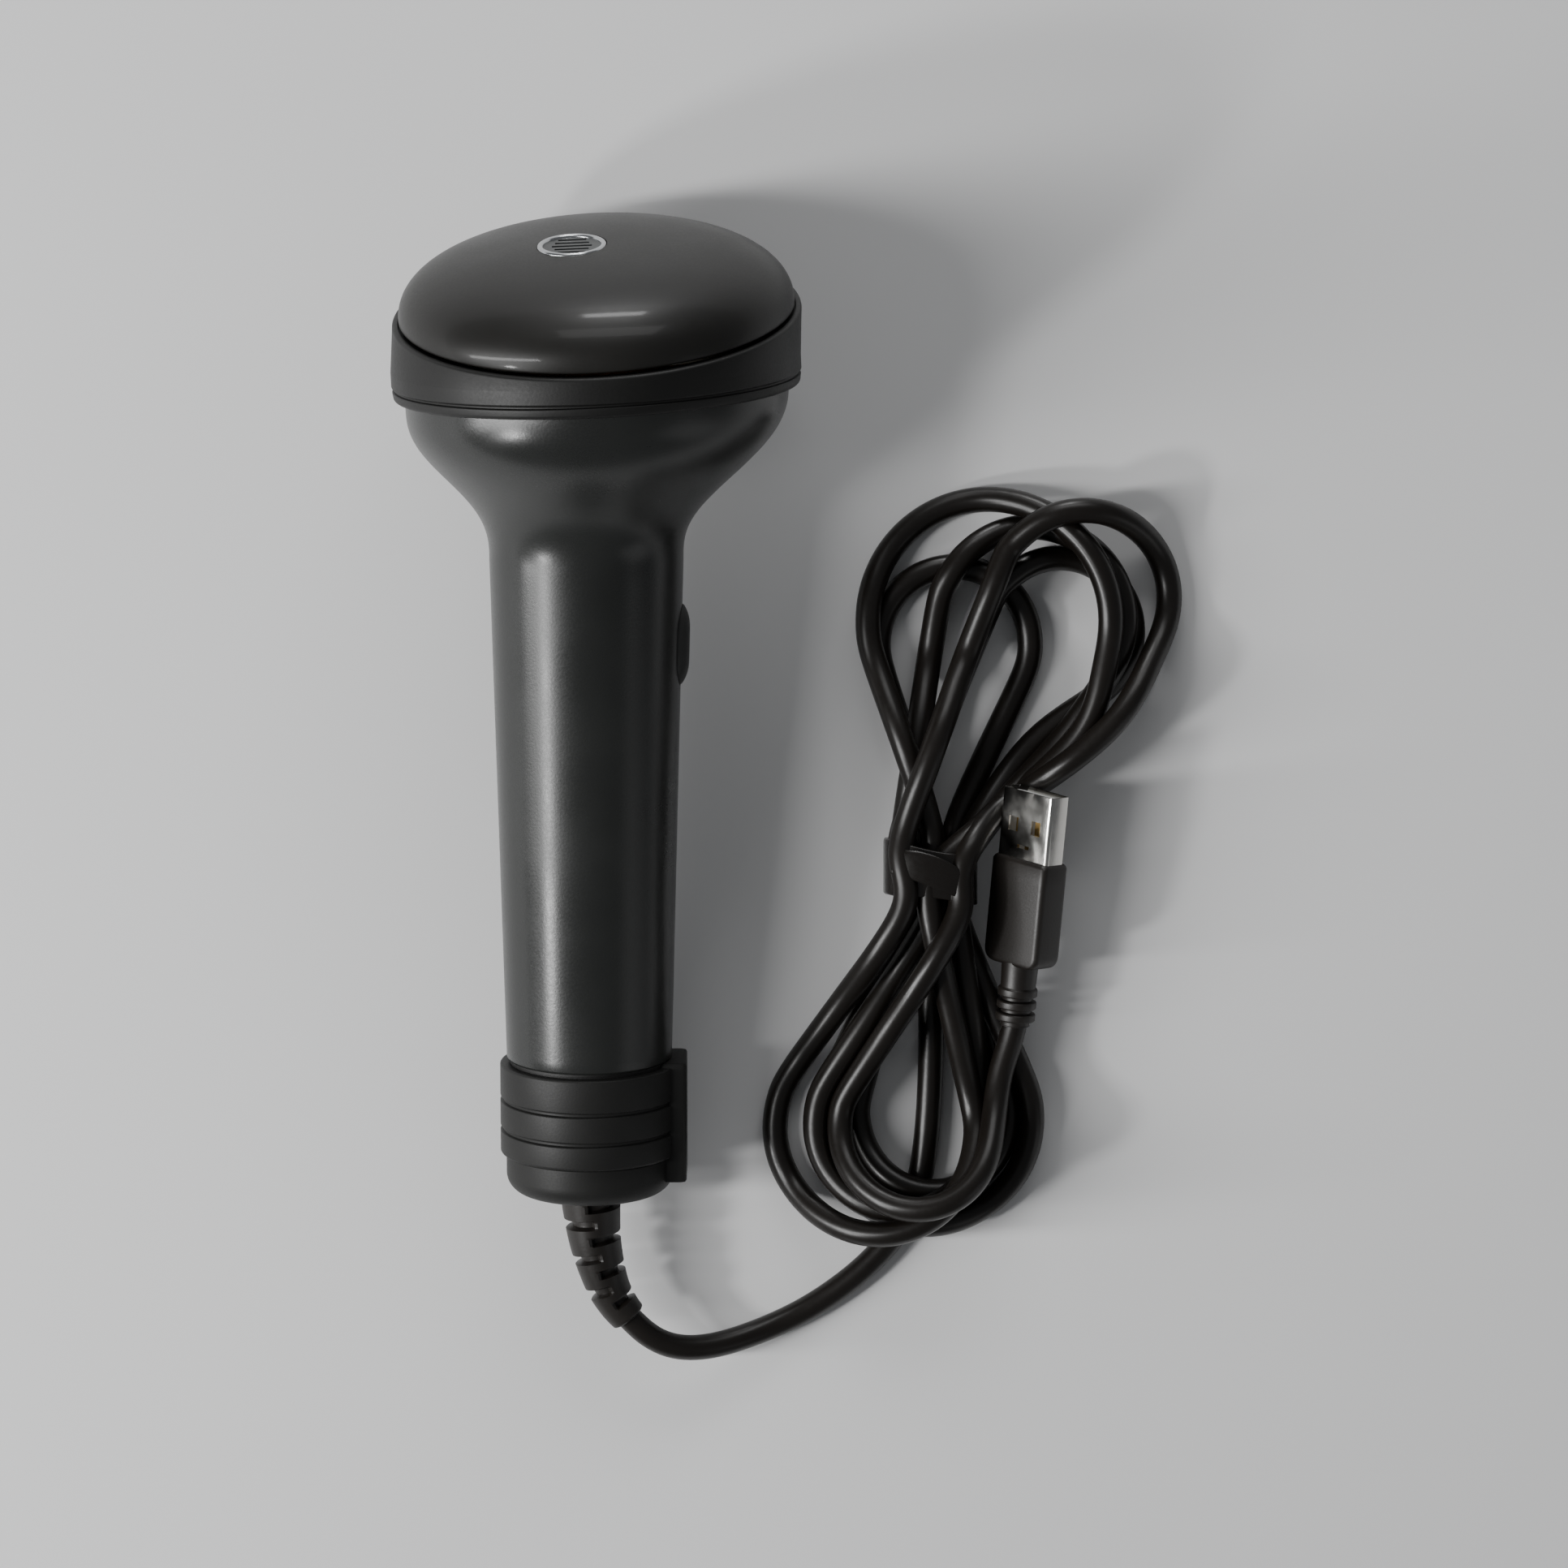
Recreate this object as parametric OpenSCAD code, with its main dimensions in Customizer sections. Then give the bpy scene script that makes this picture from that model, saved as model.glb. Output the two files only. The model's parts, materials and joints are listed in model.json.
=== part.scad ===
// Hand-held microchip scanner: a round tapered handle with a domed antenna head,
// a side trigger, and a tied USB cord. Sizes are in millimetres.
// Scanner pieces are drawn upright: z runs from the end cap (0) to the dome,
// +x is the trigger side and +y the rear. lay_down() rests them on the table.

/* [Handle] */
// Radius of the handle just under the head
neck_r = 16.7; // [15.5:0.1:19]
// Radius of the handle at its foot, above the collar
foot_r = 14.4; // [14.2:0.1:16]
// Height of the neck above the end cap's face
neck_z = 112; // [104:1:136]
// Height of the handle's shoulder above the end cap's face
foot_z = 23.9; // [20:0.1:26]
// Wall thickness of the housing
wall = 2.2; // [1.8:0.1:2.8]

/* [Head] */
// Height of the flared bowl, from the neck to the bumper band
bowl_h = 29; // [24:1:36]
// Radius of the bowl at its widest
bowl_r = 32.8; // [31:0.1:39]
// Sideways offset of the head towards the trigger side
head_shift = 2; // [0:0.1:2.4]
// Radius of the dome's rim
dome_r = 33.9; // [32.5:0.1:41]
// Height of the dome above its rim
dome_h = 12.9; // [11:0.1:16]
// Forward tilt of the dome, in degrees
dome_tilt = 11; // [6:0.5:12]
// Sideways tilt of the head's rim, in degrees
head_roll = 2.5; // [0:0.5:4]
// Height of the bumper band at its middle
band_h = 13.5; // [12:0.1:17]
// How far the band stands out past the bowl's rim collar
band_t = 3.1; // [2.4:0.1:4]

/* [Foot] */
// Outer radius of the grooved collar
collar_r = 15.6; // [15.2:0.1:17]
// Height of the end cap, up to the collar
cap_h = 7; // [6.4:0.1:9]
// Outer radius of the end cap
cap_r = 14.6; // [14.2:0.1:15.2]
// Width of the flat lug on the end cap
lug_w = 12; // [8:0.5:14]
// Thickness of the lug
lug_t = 2.4; // [1.8:0.1:3]

/* [Trigger] */
// Height of the trigger's middle above the end cap's face
trigger_z = 97; // [90:1:100]
// Length of the trigger along the handle
trigger_l = 14; // [11:0.5:17]
// Width of the trigger around the handle
trigger_w = 9; // [7:0.5:10]
// How far the trigger stands out of the handle
trigger_rise = 1.4; // [0.8:0.1:1.8]
// Travel of the trigger when it is pressed
trigger_travel = 0.6; // [0.3:0.1:0.8]

/* [Cord and plug] */
// Diameter of the cord
cord_d = 4.5; // [3.6:0.1:5]
// Thickness of the tied hank of cord in its loops
hank_h = 10; // [9:0.5:12]
// Thickness of the hank where the tie gathers it
waist_h = 14; // [12:0.5:16]
// Width of the USB plug's metal shell
usb_w = 12; // [12:0.1:12]
// Thickness of the USB plug's metal shell
usb_t = 4.5; // [4.5:0.1:4.5]
// Length of the metal shell that shows
usb_l = 12; // [11:0.5:13]
// Width of the plug's overmould
mould_w = 13; // [12.6:0.1:14]
// Thickness of the plug's overmould
mould_t = 6.4; // [6:0.1:8]
// Length of the plug's overmould
mould_l = 19; // [16:0.5:22]

/* [Hidden] */
$fn = 96;
eps = 0.01;
big = 200;

// Housing
spigot_r = foot_r - 1.4;
band_z = neck_z + bowl_h;
rim_r = bowl_r - 0.8;
rim_h = 4.5;
rim_bore_r = rim_r - wall;
gasket_h = 1;
skirt_z = rim_h + gasket_h;
lip_r = rim_bore_r - 1.8;
bowl_steps = 16;
dome_square = 0.82;
rim_plate = 2.5;

// Resting place: the band's lower edge and the collar's lower edge touch the table
band_r = rim_r + band_t;
lie_tilt = atan((band_r - collar_r) / (band_z - cap_h));
rest_h = band_r * cos(lie_tilt) - band_z * sin(lie_tilt);
cap_round = 4;
rim_mid_z = band_z + band_h;
low_y = -(cap_r - cap_round) * sin(lie_tilt) - cap_round * (1 - cos(lie_tilt));
top_y = rim_mid_z * cos(lie_tilt) + norm([dome_r * sin(lie_tilt + dome_tilt),
    dome_h * cos(lie_tilt + dome_tilt)]);
mid_y = (low_y + top_y) / 2;

// Fasteners
screw_r = 1;
screw_head_r = 1.9;
screw_head_h = 1.4;
screw_gap = 0.2;
housing_screw_z = [44, 84];
screw_seat_y = 9;
screw_tip_y = -3.2;
boss_r = 3.2;
cap_screw_y = 8.4;
cap_floor = 2.6;
cap_screw_top = 15;
head_screw_angles = [45, 135, 225, 315];
head_screw_h = 2.2;
head_screw_in = 2.2;
head_screw_seat = 1.2;

// Board
board_y = 2;
board_t = 1.6;
board_w = 19;
board_z = [32, 108];

// Trigger
pad_x = 13.2;
gasket_t = 0.8;
flange_t = 1.2;
flange_gap = 0.2;
flange_lap = 1.3;
slot_gap = 0.25;
flange_x = pad_x - gasket_t - flange_gap;
plunger_gap = 0.1;
plunger_r = 1;
plunger_l = 3.5;
plunger_clear = 0.05;
switch_x = [5.2, 9.3];
switch_floor_x = 6.5;

// Antenna
bobbin_z = 0;
plate_bore_r = 23;
hold_h = 1.5;
bobbin_h = 8;
bobbin_r = 26.5;
bobbin_bore_r = 20.5;
winding_r = [22, 25.4];
flange_h = 1.2;

// Sounder grille on the dome
grille_at = [-3.5, -2];
ring_r = 6;
ring_w = 1.1;
grille_z = dome_h - wall;
grille_t = 1.9;
ring_rise = 0.35;

// Cord
boot_r = [5.4, 3.2];
boot_neck_r = 3.8;
boot_flange_t = 1.6;
cap_exit = [-head_shift, -mid_y, rest_h];
boot_end = [4.7, -107, 11];
boot_route = [cap_exit, [-1.7, -88.5, 13.7], [-1.2, -93, 13.1], [-0.2, -97.5, 12.5],
    [1.1, -101.5, 11.9], [2.8, -104.6, 11.4], boot_end];
lead_route = [boot_end, [7, -109.6, 10.2], [9.8, -111.6, 9.2], [13, -112.8, 8],
    [16.5, -113, 6.6], [20.5, -112.6, 5], [25, -111.4, 3.6], [29.5, -109.8, 2.7],
    [34, -107.8, 2.3], [38.5, -105.2, 2.3], [43, -102, 2.3], [47, -98.6, 2.3],
    [50.5, -94.8, 2.4], [53.5, -90.5, 2.5]];

// Cord clamp in the handle's foot
clamp_z = 9;
clamp_l = 6;
clamp_w = 15;
clamp_screw_x = 5;
clamp_screw_r = 0.9;
clamp_screw_l = 6.5;
inner_cord_top = 19;

// Hank: two round lobes on each side of a tied waist
upper_left = [66, 18];
upper_left_r = 20.5;
upper_right = [83, 20];
upper_right_r = 17.8;
lower_left = [47, -75];
lower_left_r = 19;
lower_right = [59, -77];
lower_right_r = 18.8;
waist_x = [50.8, 64.6];
waist_y = -28.5;
tie_w = 9;
tie_t = 1.2;
tie_top = waist_h + tie_t;
waist_l = 26;

// Plug, measured from the front face of its overmould along its own axis
plug_at = [75.1, -26, 12.8];
plug_turn = -5;
plug_pitch = 8;
plug_roll = -45;
plug_neck_l = 4;
plug_boot_l = 7;
plug_boot_r = 3;
bay_gap = 1.2;
shell_t = 0.3;

// Places scanner pieces in their resting position
module lay_down() {
    translate([-head_shift, -mid_y, rest_h]) rotate([lie_tilt - 90, 0, 0]) children();
}

// Frame of the head's rim: z = 0 is the lower edge of the bumper band
module at_head() {
    translate([head_shift, 0, band_z]) rotate([0, -head_roll, 0]) children();
}

// Frame of the dome: z = 0 is the plane of its rim
module at_dome() {
    translate([head_shift, 0, rim_mid_z]) rotate([dome_tilt, -head_roll, 0]) children();
}

// Plug frame: y runs out of the metal shell, x across its width
module at_plug() {
    translate(plug_at) rotate([plug_pitch, 0, plug_turn]) rotate([0, plug_roll, 0]) children();
}

module tube(outer, inner, z0, z1) {
    translate([0, 0, z0]) difference() {
        cylinder(r = outer, h = z1 - z0);
        translate([0, 0, -1]) cylinder(r = inner, h = z1 - z0 + 2);
    }
}

// An upright slab with round ends, thickness along x
module pill(x0, x1, l, w) {
    translate([x0, 0, 0]) rotate([0, 90, 0]) linear_extrude(x1 - x0) {
        square([l - w, w], center = true);
        for (s = [-1, 1]) translate([s * (l - w) / 2, 0]) circle(d = w);
    }
}

function handle_r(z) = foot_r + (neck_r - foot_r) * (z - foot_z) / (neck_z - foot_z);
function ease(s) = s * s * s * (s * (6 * s - 15) + 10);
function bowl_profile(inset) = [for (i = [0:bowl_steps])
    [neck_r - inset + (bowl_r - neck_r) * ease(i / bowl_steps), neck_z + bowl_h * i / bowl_steps]];
function dome_profile(r, h) = [for (a = [0:6:90])
    [r * pow(cos(a), dome_square), h * pow(sin(a), dome_square)]];
function unit(v) = v / norm(v);
function tangent(p, i) = unit(p[min(i + 1, len(p) - 1)] - p[max(i - 1, 0)]);
function ring_at(c, d, r, n, up) = let (s = unit(cross(d, up)), u = cross(s, d))
    [for (k = [0:n - 1]) c + r * (cos(360 * k / n) * s + sin(360 * k / n) * u)];

// A round tube along a route; its ends face the directions given, and up is
// any direction that the route never takes
module sweep(p, radii, first, last, n, up = [0, 0, 1]) {
    m = len(p) - 1;
    dirs = [for (i = [0:m]) i == 0 ? first : i == m ? last : tangent(p, i)];
    points = [for (i = [0:m]) each ring_at(p[i], dirs[i],
        radii[0] + (radii[1] - radii[0]) * i / m, n, up)];
    sides = [for (i = [0:m - 1]) for (k = [0:n - 1])
        [i * n + k, i * n + (k + 1) % n, (i + 1) * n + (k + 1) % n, (i + 1) * n + k]];
    ends = [[for (k = [n - 1:-1:0]) k], [for (k = [0:n - 1]) m * n + k]];
    polyhedron(points, concat(sides, ends), convexity = 6);
}

// A thin wire that runs up inside the handle
module wire(p, r) {
    m = len(p) - 1;
    sweep(p, [r, r], unit(p[1] - p[0]), unit(p[m] - p[m - 1]), 8, [0, 1, 0]);
}

// Turns a round piece so that its own starting line is off the housing's joint
module off_seam() {
    rotate([0, 0, -22.5]) children();
}

// Solid outline of the handle and bowl from height z0; inset makes the cavity
module body_solid(inset, z0 = cap_h) {
    off_seam() rotate_extrude() polygon(concat([[0, z0], [spigot_r - inset, z0],
        [spigot_r - inset, foot_z + inset], [foot_r - inset, foot_z + inset]],
        bowl_profile(inset), [[bowl_r - inset, band_z + rim_h], [0, band_z + rim_h]]));
}

module outer_shape() {
    difference() {
        body_solid(0);
        at_head() off_seam() cylinder(r = big / 2, h = 20);
    }
    at_head() off_seam() cylinder(r = rim_r, h = rim_h);
}

module cavity() {
    difference() {
        body_solid(wall, cap_h - 1);
        at_head() off_seam() translate([0, 0, -rim_plate]) cylinder(r = big / 2, h = 20);
    }
    at_head() off_seam() translate([0, 0, -rim_plate - 1]) cylinder(r = plate_bore_r, h = rim_plate + 2);
    at_head() off_seam() cylinder(r = rim_bore_r, h = rim_h + 1);
}

// Cylinder along y, from y0 to y1
module cross_rod(z, r, y0, y1) {
    translate([0, y1, z]) rotate([90, 0, 0]) cylinder(r = r, h = y1 - y0);
}

module trigger_window() {
    translate([0, 0, trigger_z])
        pill(switch_x[1], neck_r + 5, trigger_l + 2 * slot_gap, trigger_w + 2 * slot_gap);
}

module gasket_block() {
    translate([0, 0, trigger_z]) pill(pad_x - gasket_t, pad_x,
        trigger_l + 2 * flange_lap + 2, trigger_w + 2 * flange_lap + 1);
}

// Room inside the wall for the trigger's flange
module flange_room() {
    translate([0, 0, trigger_z]) pill(flange_x - flange_t - 1, pad_x - gasket_t + eps,
        trigger_l + 2 * flange_lap + 1, trigger_w + 2 * flange_lap + 0.6);
}

// Wall and trigger pad, before the split into two halves
module housing() {
    difference() {
        union() {
            difference() {
                outer_shape();
                cavity();
            }
            intersection() {
                body_solid(wall / 2);
                translate([pad_x, -trigger_w / 2 - 3, trigger_z - trigger_l / 2 - 4])
                    cube([neck_r, trigger_w + 6, trigger_l + 8]);
            }
        }
        trigger_window();
        gasket_block();
        flange_room();
        at_head() for (a = head_screw_angles) head_screw(a, screw_gap);
    }
}

// One radial screw under the band; gap widens it into a hole
module head_screw(a, gap) {
    rotate([0, 0, a]) translate([0, 0, head_screw_h]) rotate([0, 90, 0]) {
        translate([0, 0, rim_bore_r - head_screw_in]) cylinder(r = screw_r, h = head_screw_in + 1);
        translate([0, 0, rim_r - head_screw_seat]) cylinder(r = screw_head_r + gap,
            h = gap > 0 ? head_screw_seat + gap : head_screw_seat - 0.1);
    }
}

module cap_boss(side) {
    translate([0, side * cap_screw_y, cap_h]) cylinder(r = 2.6, h = cap_screw_top - cap_h + 1.5);
}

module cap_pilot(side) {
    translate([0, side * cap_screw_y, cap_h - 1]) cylinder(r = screw_r, h = cap_screw_top - cap_h + 1);
}

module front_housing() {
    color([0.2, 0.21, 0.2]) lay_down() difference() {
        union() {
            difference() {
                housing();
                translate([-big / 2, 0, -1]) cube(big);
            }
            intersection() {
                body_solid(wall / 2);
                for (z = housing_screw_z) cross_rod(z, boss_r, -neck_r, board_y);
            }
            cap_boss(-1);
        }
        for (z = housing_screw_z) cross_rod(z, screw_r, screw_tip_y, board_y + 1);
        cap_pilot(-1);
    }
}

module rear_housing() {
    color([0.19, 0.2, 0.19]) lay_down() difference() {
        union() {
            difference() {
                housing();
                translate([-big / 2, -big, -1]) cube(big);
            }
            intersection() {
                body_solid(wall / 2);
                union() {
                    for (z = housing_screw_z) cross_rod(z, boss_r, board_y + board_t, neck_r);
                    clamp_ledge();
                }
            }
            cap_boss(1);
        }
        for (z = housing_screw_z) {
            cross_rod(z, screw_r + screw_gap / 2, board_y, neck_r);
            cross_rod(z, screw_head_r + screw_gap, screw_seat_y, neck_r + 1);
        }
        for (s = [-1, 1]) translate([s * clamp_screw_x, 0, clamp_z + clamp_l / 2])
            rotate([-90, 0, 0]) cylinder(r = clamp_screw_r, h = clamp_screw_l);
        cap_pilot(1);
    }
}

module dome_cover() {
    color([0.21, 0.22, 0.21]) lay_down() difference() {
        union() {
            at_dome() difference() {
                rotate_extrude() polygon(concat([[0, 0]], dome_profile(dome_r, dome_h)));
                translate([0, 0, -eps]) rotate_extrude()
                    polygon(concat([[0, 0]], dome_profile(dome_r - wall, dome_h - wall)));
            }
            difference() {
                at_head() {
                    tube(rim_r, lip_r, skirt_z, band_h + 12);
                    tube(rim_bore_r, lip_r, skirt_z - 5, skirt_z + 1);
                    tube(lip_r + 1, lip_r - 2.5, bobbin_z + bobbin_h, bobbin_z + bobbin_h + hold_h);
                }
                at_dome() translate([0, 0, 0.6]) cylinder(r = big / 2, h = big);
            }
            at_dome() translate([0, 0, grille_z - 0.8])
                translate([grille_at.x, grille_at.y, 0]) cylinder(r = ring_r + 1, h = 1.4);
        }
        at_dome() translate([grille_at.x, grille_at.y, grille_z - 2]) cylinder(r = ring_r, h = 8);
        at_head() for (a = head_screw_angles) rotate([0, 0, a]) translate([0, 0, head_screw_h])
            rotate([0, 90, 0]) cylinder(r = screw_r, h = rim_bore_r + 1);
    }
}

// Wedge-shaped rubber band: flat below, cut by the dome's rim plane above
module bumper_band() {
    lip_h = 1.6;
    groove_h = 0.6;
    groove_d = 0.5;
    color([0.08, 0.08, 0.07]) lay_down() difference() {
        at_head() rotate_extrude() polygon([[rim_r, 0], [band_r - 0.6, 0], [band_r, 0.6],
            [band_r, lip_h], [band_r - groove_d, lip_h], [band_r - groove_d, lip_h + groove_h],
            [band_r, lip_h + groove_h], [band_r, band_h + 12], [rim_r, band_h + 12]]);
        at_dome() cylinder(r = big / 2, h = big);
    }
}

module end_collar() {
    groove_d = 0.6;
    groove_h = 0.9;
    grooves = [11.2, 16.5];
    color([0.17, 0.17, 0.17]) lay_down() difference() {
        rotate_extrude() polygon(concat([[spigot_r, cap_h], [collar_r, cap_h]],
            [for (g = grooves) each [[collar_r, g], [collar_r - groove_d, g + 0.2],
                [collar_r - groove_d, g + groove_h - 0.2], [collar_r, g + groove_h]]],
            [[collar_r, foot_z - 1.5], [collar_r - 0.8, foot_z - 0.7], [spigot_r, foot_z - 0.7]]));
        lug_block();
    }
}

// The lug's plate, beside the collar
module lug_block() {
    translate([foot_r + 0.2, -lug_w / 2, cap_h - 1]) cube([lug_t, lug_w, foot_z + 1.1 - cap_h]);
}

module end_cap() {
    color([0.16, 0.16, 0.155]) lay_down() difference() {
        union() {
            rotate_extrude() polygon(concat([[0, 0]],
                [for (a = [-90:10:0]) [cap_r - cap_round + cap_round * cos(a), cap_round + cap_round * sin(a)]],
                [[cap_r, cap_h], [0, cap_h]]));
            lug_block();
            translate([0, -lug_w / 2, cap_floor]) cube([foot_r + 0.2 + lug_t, lug_w, cap_h - cap_floor]);
        }
        difference() {
            translate([0, 0, cap_floor]) cylinder(r = cap_r - 2.4, h = cap_h);
            for (s = [-1, 1]) translate([0, s * cap_screw_y, 0]) cylinder(r = 2.4, h = cap_h);
            translate([cap_r - 2.4, -lug_w / 2, cap_h]) cube([big, lug_w, big]);
        }
        translate([0, 0, -1]) cylinder(r = boot_neck_r, h = cap_floor + 2);
        for (s = [-1, 1]) translate([0, s * cap_screw_y, -1]) {
            cylinder(r = screw_r + screw_gap / 2, h = cap_h + 2);
            cylinder(r = screw_head_r + screw_gap, h = 1 + screw_head_h + 0.1);
        }
    }
}

module housing_screws() {
    color("silver") lay_down() for (z = housing_screw_z) {
        cross_rod(z, screw_r, screw_tip_y, screw_seat_y + 0.1);
        cross_rod(z, screw_head_r, screw_seat_y, screw_seat_y + screw_head_h);
    }
}

module head_screws() {
    color("silver") lay_down() at_head() for (a = head_screw_angles) head_screw(a, 0);
}

module cap_screws() {
    color("silver") lay_down() for (s = [-1, 1]) translate([0, s * cap_screw_y, 0]) {
        translate([0, 0, 0.1]) cylinder(r = screw_head_r, h = screw_head_h);
        translate([0, 0, 1]) cylinder(r = screw_r, h = cap_screw_top - 2);
    }
}

module seal_ring() {
    color([0.05, 0.05, 0.05]) lay_down() tube(foot_r - 0.5, spigot_r, foot_z - 0.7, foot_z);
}

module dome_gasket() {
    color([0.1, 0.1, 0.1]) lay_down() at_head() tube(rim_r, rim_bore_r, rim_h, skirt_z);
}

module at_grille() {
    lay_down() at_dome() translate([grille_at.x, grille_at.y, grille_z]) children();
}

module sounder_grille() {
    slot_w = 0.8;
    color([0.42, 0.44, 0.45]) at_grille() difference() {
        cylinder(r = ring_r - ring_w, h = grille_t);
        for (i = [-2:2]) translate([-(ring_r - 2.6) + abs(i) * 0.5, i * 1.7 - slot_w / 2, 0.6])
            cube([2 * (ring_r - 2.6) - abs(i), slot_w, grille_t]);
    }
}

module grille_ring() {
    top = grille_t + ring_rise;
    color([0.8, 0.8, 0.8]) at_grille() rotate_extrude() polygon([[ring_r - ring_w, 0], [ring_r, 0],
        [ring_r, top - 0.3], [ring_r - 0.3, top], [ring_r - ring_w + 0.3, top],
        [ring_r - ring_w, top - 0.3]]);
}

module sounder() {
    color([0.1, 0.1, 0.1]) at_grille() translate([0, 0, -3.4]) difference() {
        cylinder(r = ring_r - ring_w, h = 3.4);
        translate([0, 0, 2.4]) cylinder(r = 1, h = 2);
    }
}

module antenna_bobbin() {
    color("ivory") lay_down() at_head() rotate_extrude() polygon([
        [bobbin_bore_r, bobbin_z], [bobbin_r, bobbin_z], [bobbin_r, bobbin_z + flange_h],
        [winding_r[0], bobbin_z + flange_h], [winding_r[0], bobbin_z + bobbin_h - flange_h],
        [bobbin_r, bobbin_z + bobbin_h - flange_h], [bobbin_r, bobbin_z + bobbin_h],
        [bobbin_bore_r, bobbin_z + bobbin_h]]);
}

module antenna_winding() {
    color([0.72, 0.4, 0.2]) lay_down() at_head()
        tube(winding_r[1], winding_r[0], bobbin_z + flange_h, bobbin_z + bobbin_h - flange_h);
}

module antenna_leads() {
    lead_r = 0.4;
    color("red") lay_down() for (s = [-1, 1]) wire([
        [head_shift - bobbin_bore_r - 1, s - 2, band_z + bobbin_z - 1.6],
        [-10, s - 2, neck_z + 8], [-3, s - 2, neck_z + 1], [s * 1.5 - 2, board_y - 1.5, board_z[1] + 0.5]],
        lead_r);
}

module antenna_connector() {
    color("white") lay_down() translate([-6, board_y - 3, board_z[1] - 5]) cube([8, 3, 5]);
}

module main_board() {
    color([0.05, 0.3, 0.15]) lay_down() difference() {
        translate([-board_w / 2, board_y, board_z[0]])
            cube([board_w, board_t, board_z[1] - board_z[0]]);
        for (z = housing_screw_z) cross_rod(z, screw_r + screw_gap, board_y - 1, board_y + board_t + 1);
    }
}

// A block on the front face of the board
module on_board(x, z, size, shade) {
    color(shade) lay_down() translate([x - size.x / 2, board_y - size.y, z - size.z / 2]) cube(size);
}

module reader_chip() {
    on_board(0, 66, [9, 1.2, 9], [0.1, 0.1, 0.1]);
}

module controller_chip() {
    on_board(-2, 54, [6, 1, 6], [0.12, 0.12, 0.12]);
}

module crystal_can() {
    on_board(5.5, 54.5, [3.5, 2, 8], "silver");
}

module capacitors() {
    color([0.3, 0.35, 0.6]) lay_down() for (x = [-5.5, 5.5])
        translate([x, 0, 76]) cross_rod(0, 2, board_y - 5, board_y);
}

module trigger_switch() {
    color([0.15, 0.15, 0.15]) lay_down() translate([0, 0, trigger_z]) difference() {
        translate([switch_x[0], -2.5, -3]) cube([switch_x[1] - switch_x[0], board_y + 2.5, 6]);
        translate([switch_floor_x, 0, 0]) rotate([0, 90, 0])
            cylinder(r = plunger_r + plunger_clear, h = 10);
    }
}

module switch_plunger() {
    tip = flange_x - flange_t - plunger_gap;
    color("ivory") lay_down() translate([tip - plunger_l, 0, trigger_z]) rotate([0, 90, 0])
        cylinder(r = plunger_r, h = plunger_l);
}

// Outer face of the trigger: a low arch that stands out of the handle
module trigger_crown() {
    steps = 12;
    half = trigger_l / 2;
    rotate_extrude() polygon(concat([[0, trigger_z - half]], [for (i = [0:steps])
        let (u = 2 * i / steps - 1)
        [handle_r(trigger_z + u * half) - 0.3 + (trigger_rise + 0.3) * sqrt(max(0, 1 - u * u * 0.92)),
            trigger_z + u * half]], [[0, trigger_z + half]]));
}

module trigger_button() {
    color([0.13, 0.13, 0.125]) lay_down() {
        intersection() {
            translate([0, 0, trigger_z]) pill(flange_x - eps, neck_r + 5, trigger_l, trigger_w);
            trigger_crown();
        }
        translate([0, 0, trigger_z]) pill(flange_x - flange_t, flange_x,
            trigger_l + 2 * flange_lap, trigger_w + 2 * flange_lap);
    }
}

module button_gasket() {
    color([0.3, 0.3, 0.3]) lay_down() difference() {
        gasket_block();
        trigger_window();
    }
}

module cord_socket() {
    on_board(0, board_z[0] + 6, [12, 5, 5], "white");
}

module cord_connector() {
    on_board(0, board_z[0] + 0.5, [11, 4, 6], "ivory");
}

module clamp_ledge() {
    translate([-clamp_w / 2, cord_d / 2, clamp_z]) cube([clamp_w, foot_r, clamp_l]);
}

module cord_wires() {
    wire_r = 0.45;
    colours = ["red", "white", "green", "black"];
    for (i = [0:3]) color(colours[i]) lay_down() wire([[i * 0.95 - 1.425, 0, inner_cord_top],
        [i * 1.1 - 1.65, -0.4, inner_cord_top + 4], [i * 2.2 - 3.3, -1, board_z[0] - 5],
        [i * 2.2 - 3.3, -1, board_z[0] - 2.5]], wire_r);
}

module inner_cord() {
    color([0.09, 0.08, 0.07]) lay_down() translate([0, 0, cap_floor + boot_flange_t])
        cylinder(d = cord_d, h = inner_cord_top - cap_floor - boot_flange_t);
}

module cord_clamp() {
    color("silver") lay_down() difference() {
        translate([-clamp_w / 2 + 0.5, -cord_d / 2 - 1.6, clamp_z]) cube([clamp_w - 1, 1.6, clamp_l]);
        for (s = [-1, 1]) translate([s * clamp_screw_x, 0, clamp_z + clamp_l / 2])
            cross_rod(0, clamp_screw_r + 0.1, -cord_d, 0);
    }
}

module clamp_screws() {
    top = -cord_d / 2 - 1.6;
    color("silver") lay_down() for (s = [-1, 1]) translate([s * clamp_screw_x, 0, clamp_z + clamp_l / 2]) {
        cross_rod(0, clamp_screw_r, top, clamp_screw_l - 0.3);
        cross_rod(0, 1.7, top - 1.1, top);
    }
}

// Strain relief: neck and flange in the cap, and a bent taper outside it
module cord_boot() {
    axis = [0, -cos(lie_tilt), -sin(lie_tilt)];
    color([0.1, 0.1, 0.09]) {
        lay_down() {
            cylinder(r = boot_neck_r, h = cap_floor);
            translate([0, 0, cap_floor]) cylinder(r = boot_r[0], h = boot_flange_t);
        }
        sweep(boot_route, boot_r, axis, unit(lead_route[1] - boot_end), 16);
    }
}

module cord_lead() {
    color([0.09, 0.08, 0.07]) sweep(lead_route, [cord_d / 2, cord_d / 2],
        unit(lead_route[1] - boot_end), tangent(lead_route, len(lead_route) - 1), 8);
}

function arc(c, r, a0, a1) = [for (i = [0:12]) let (a = a0 + (a1 - a0) * i / 12) c + r * [cos(a), sin(a)]];

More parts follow.
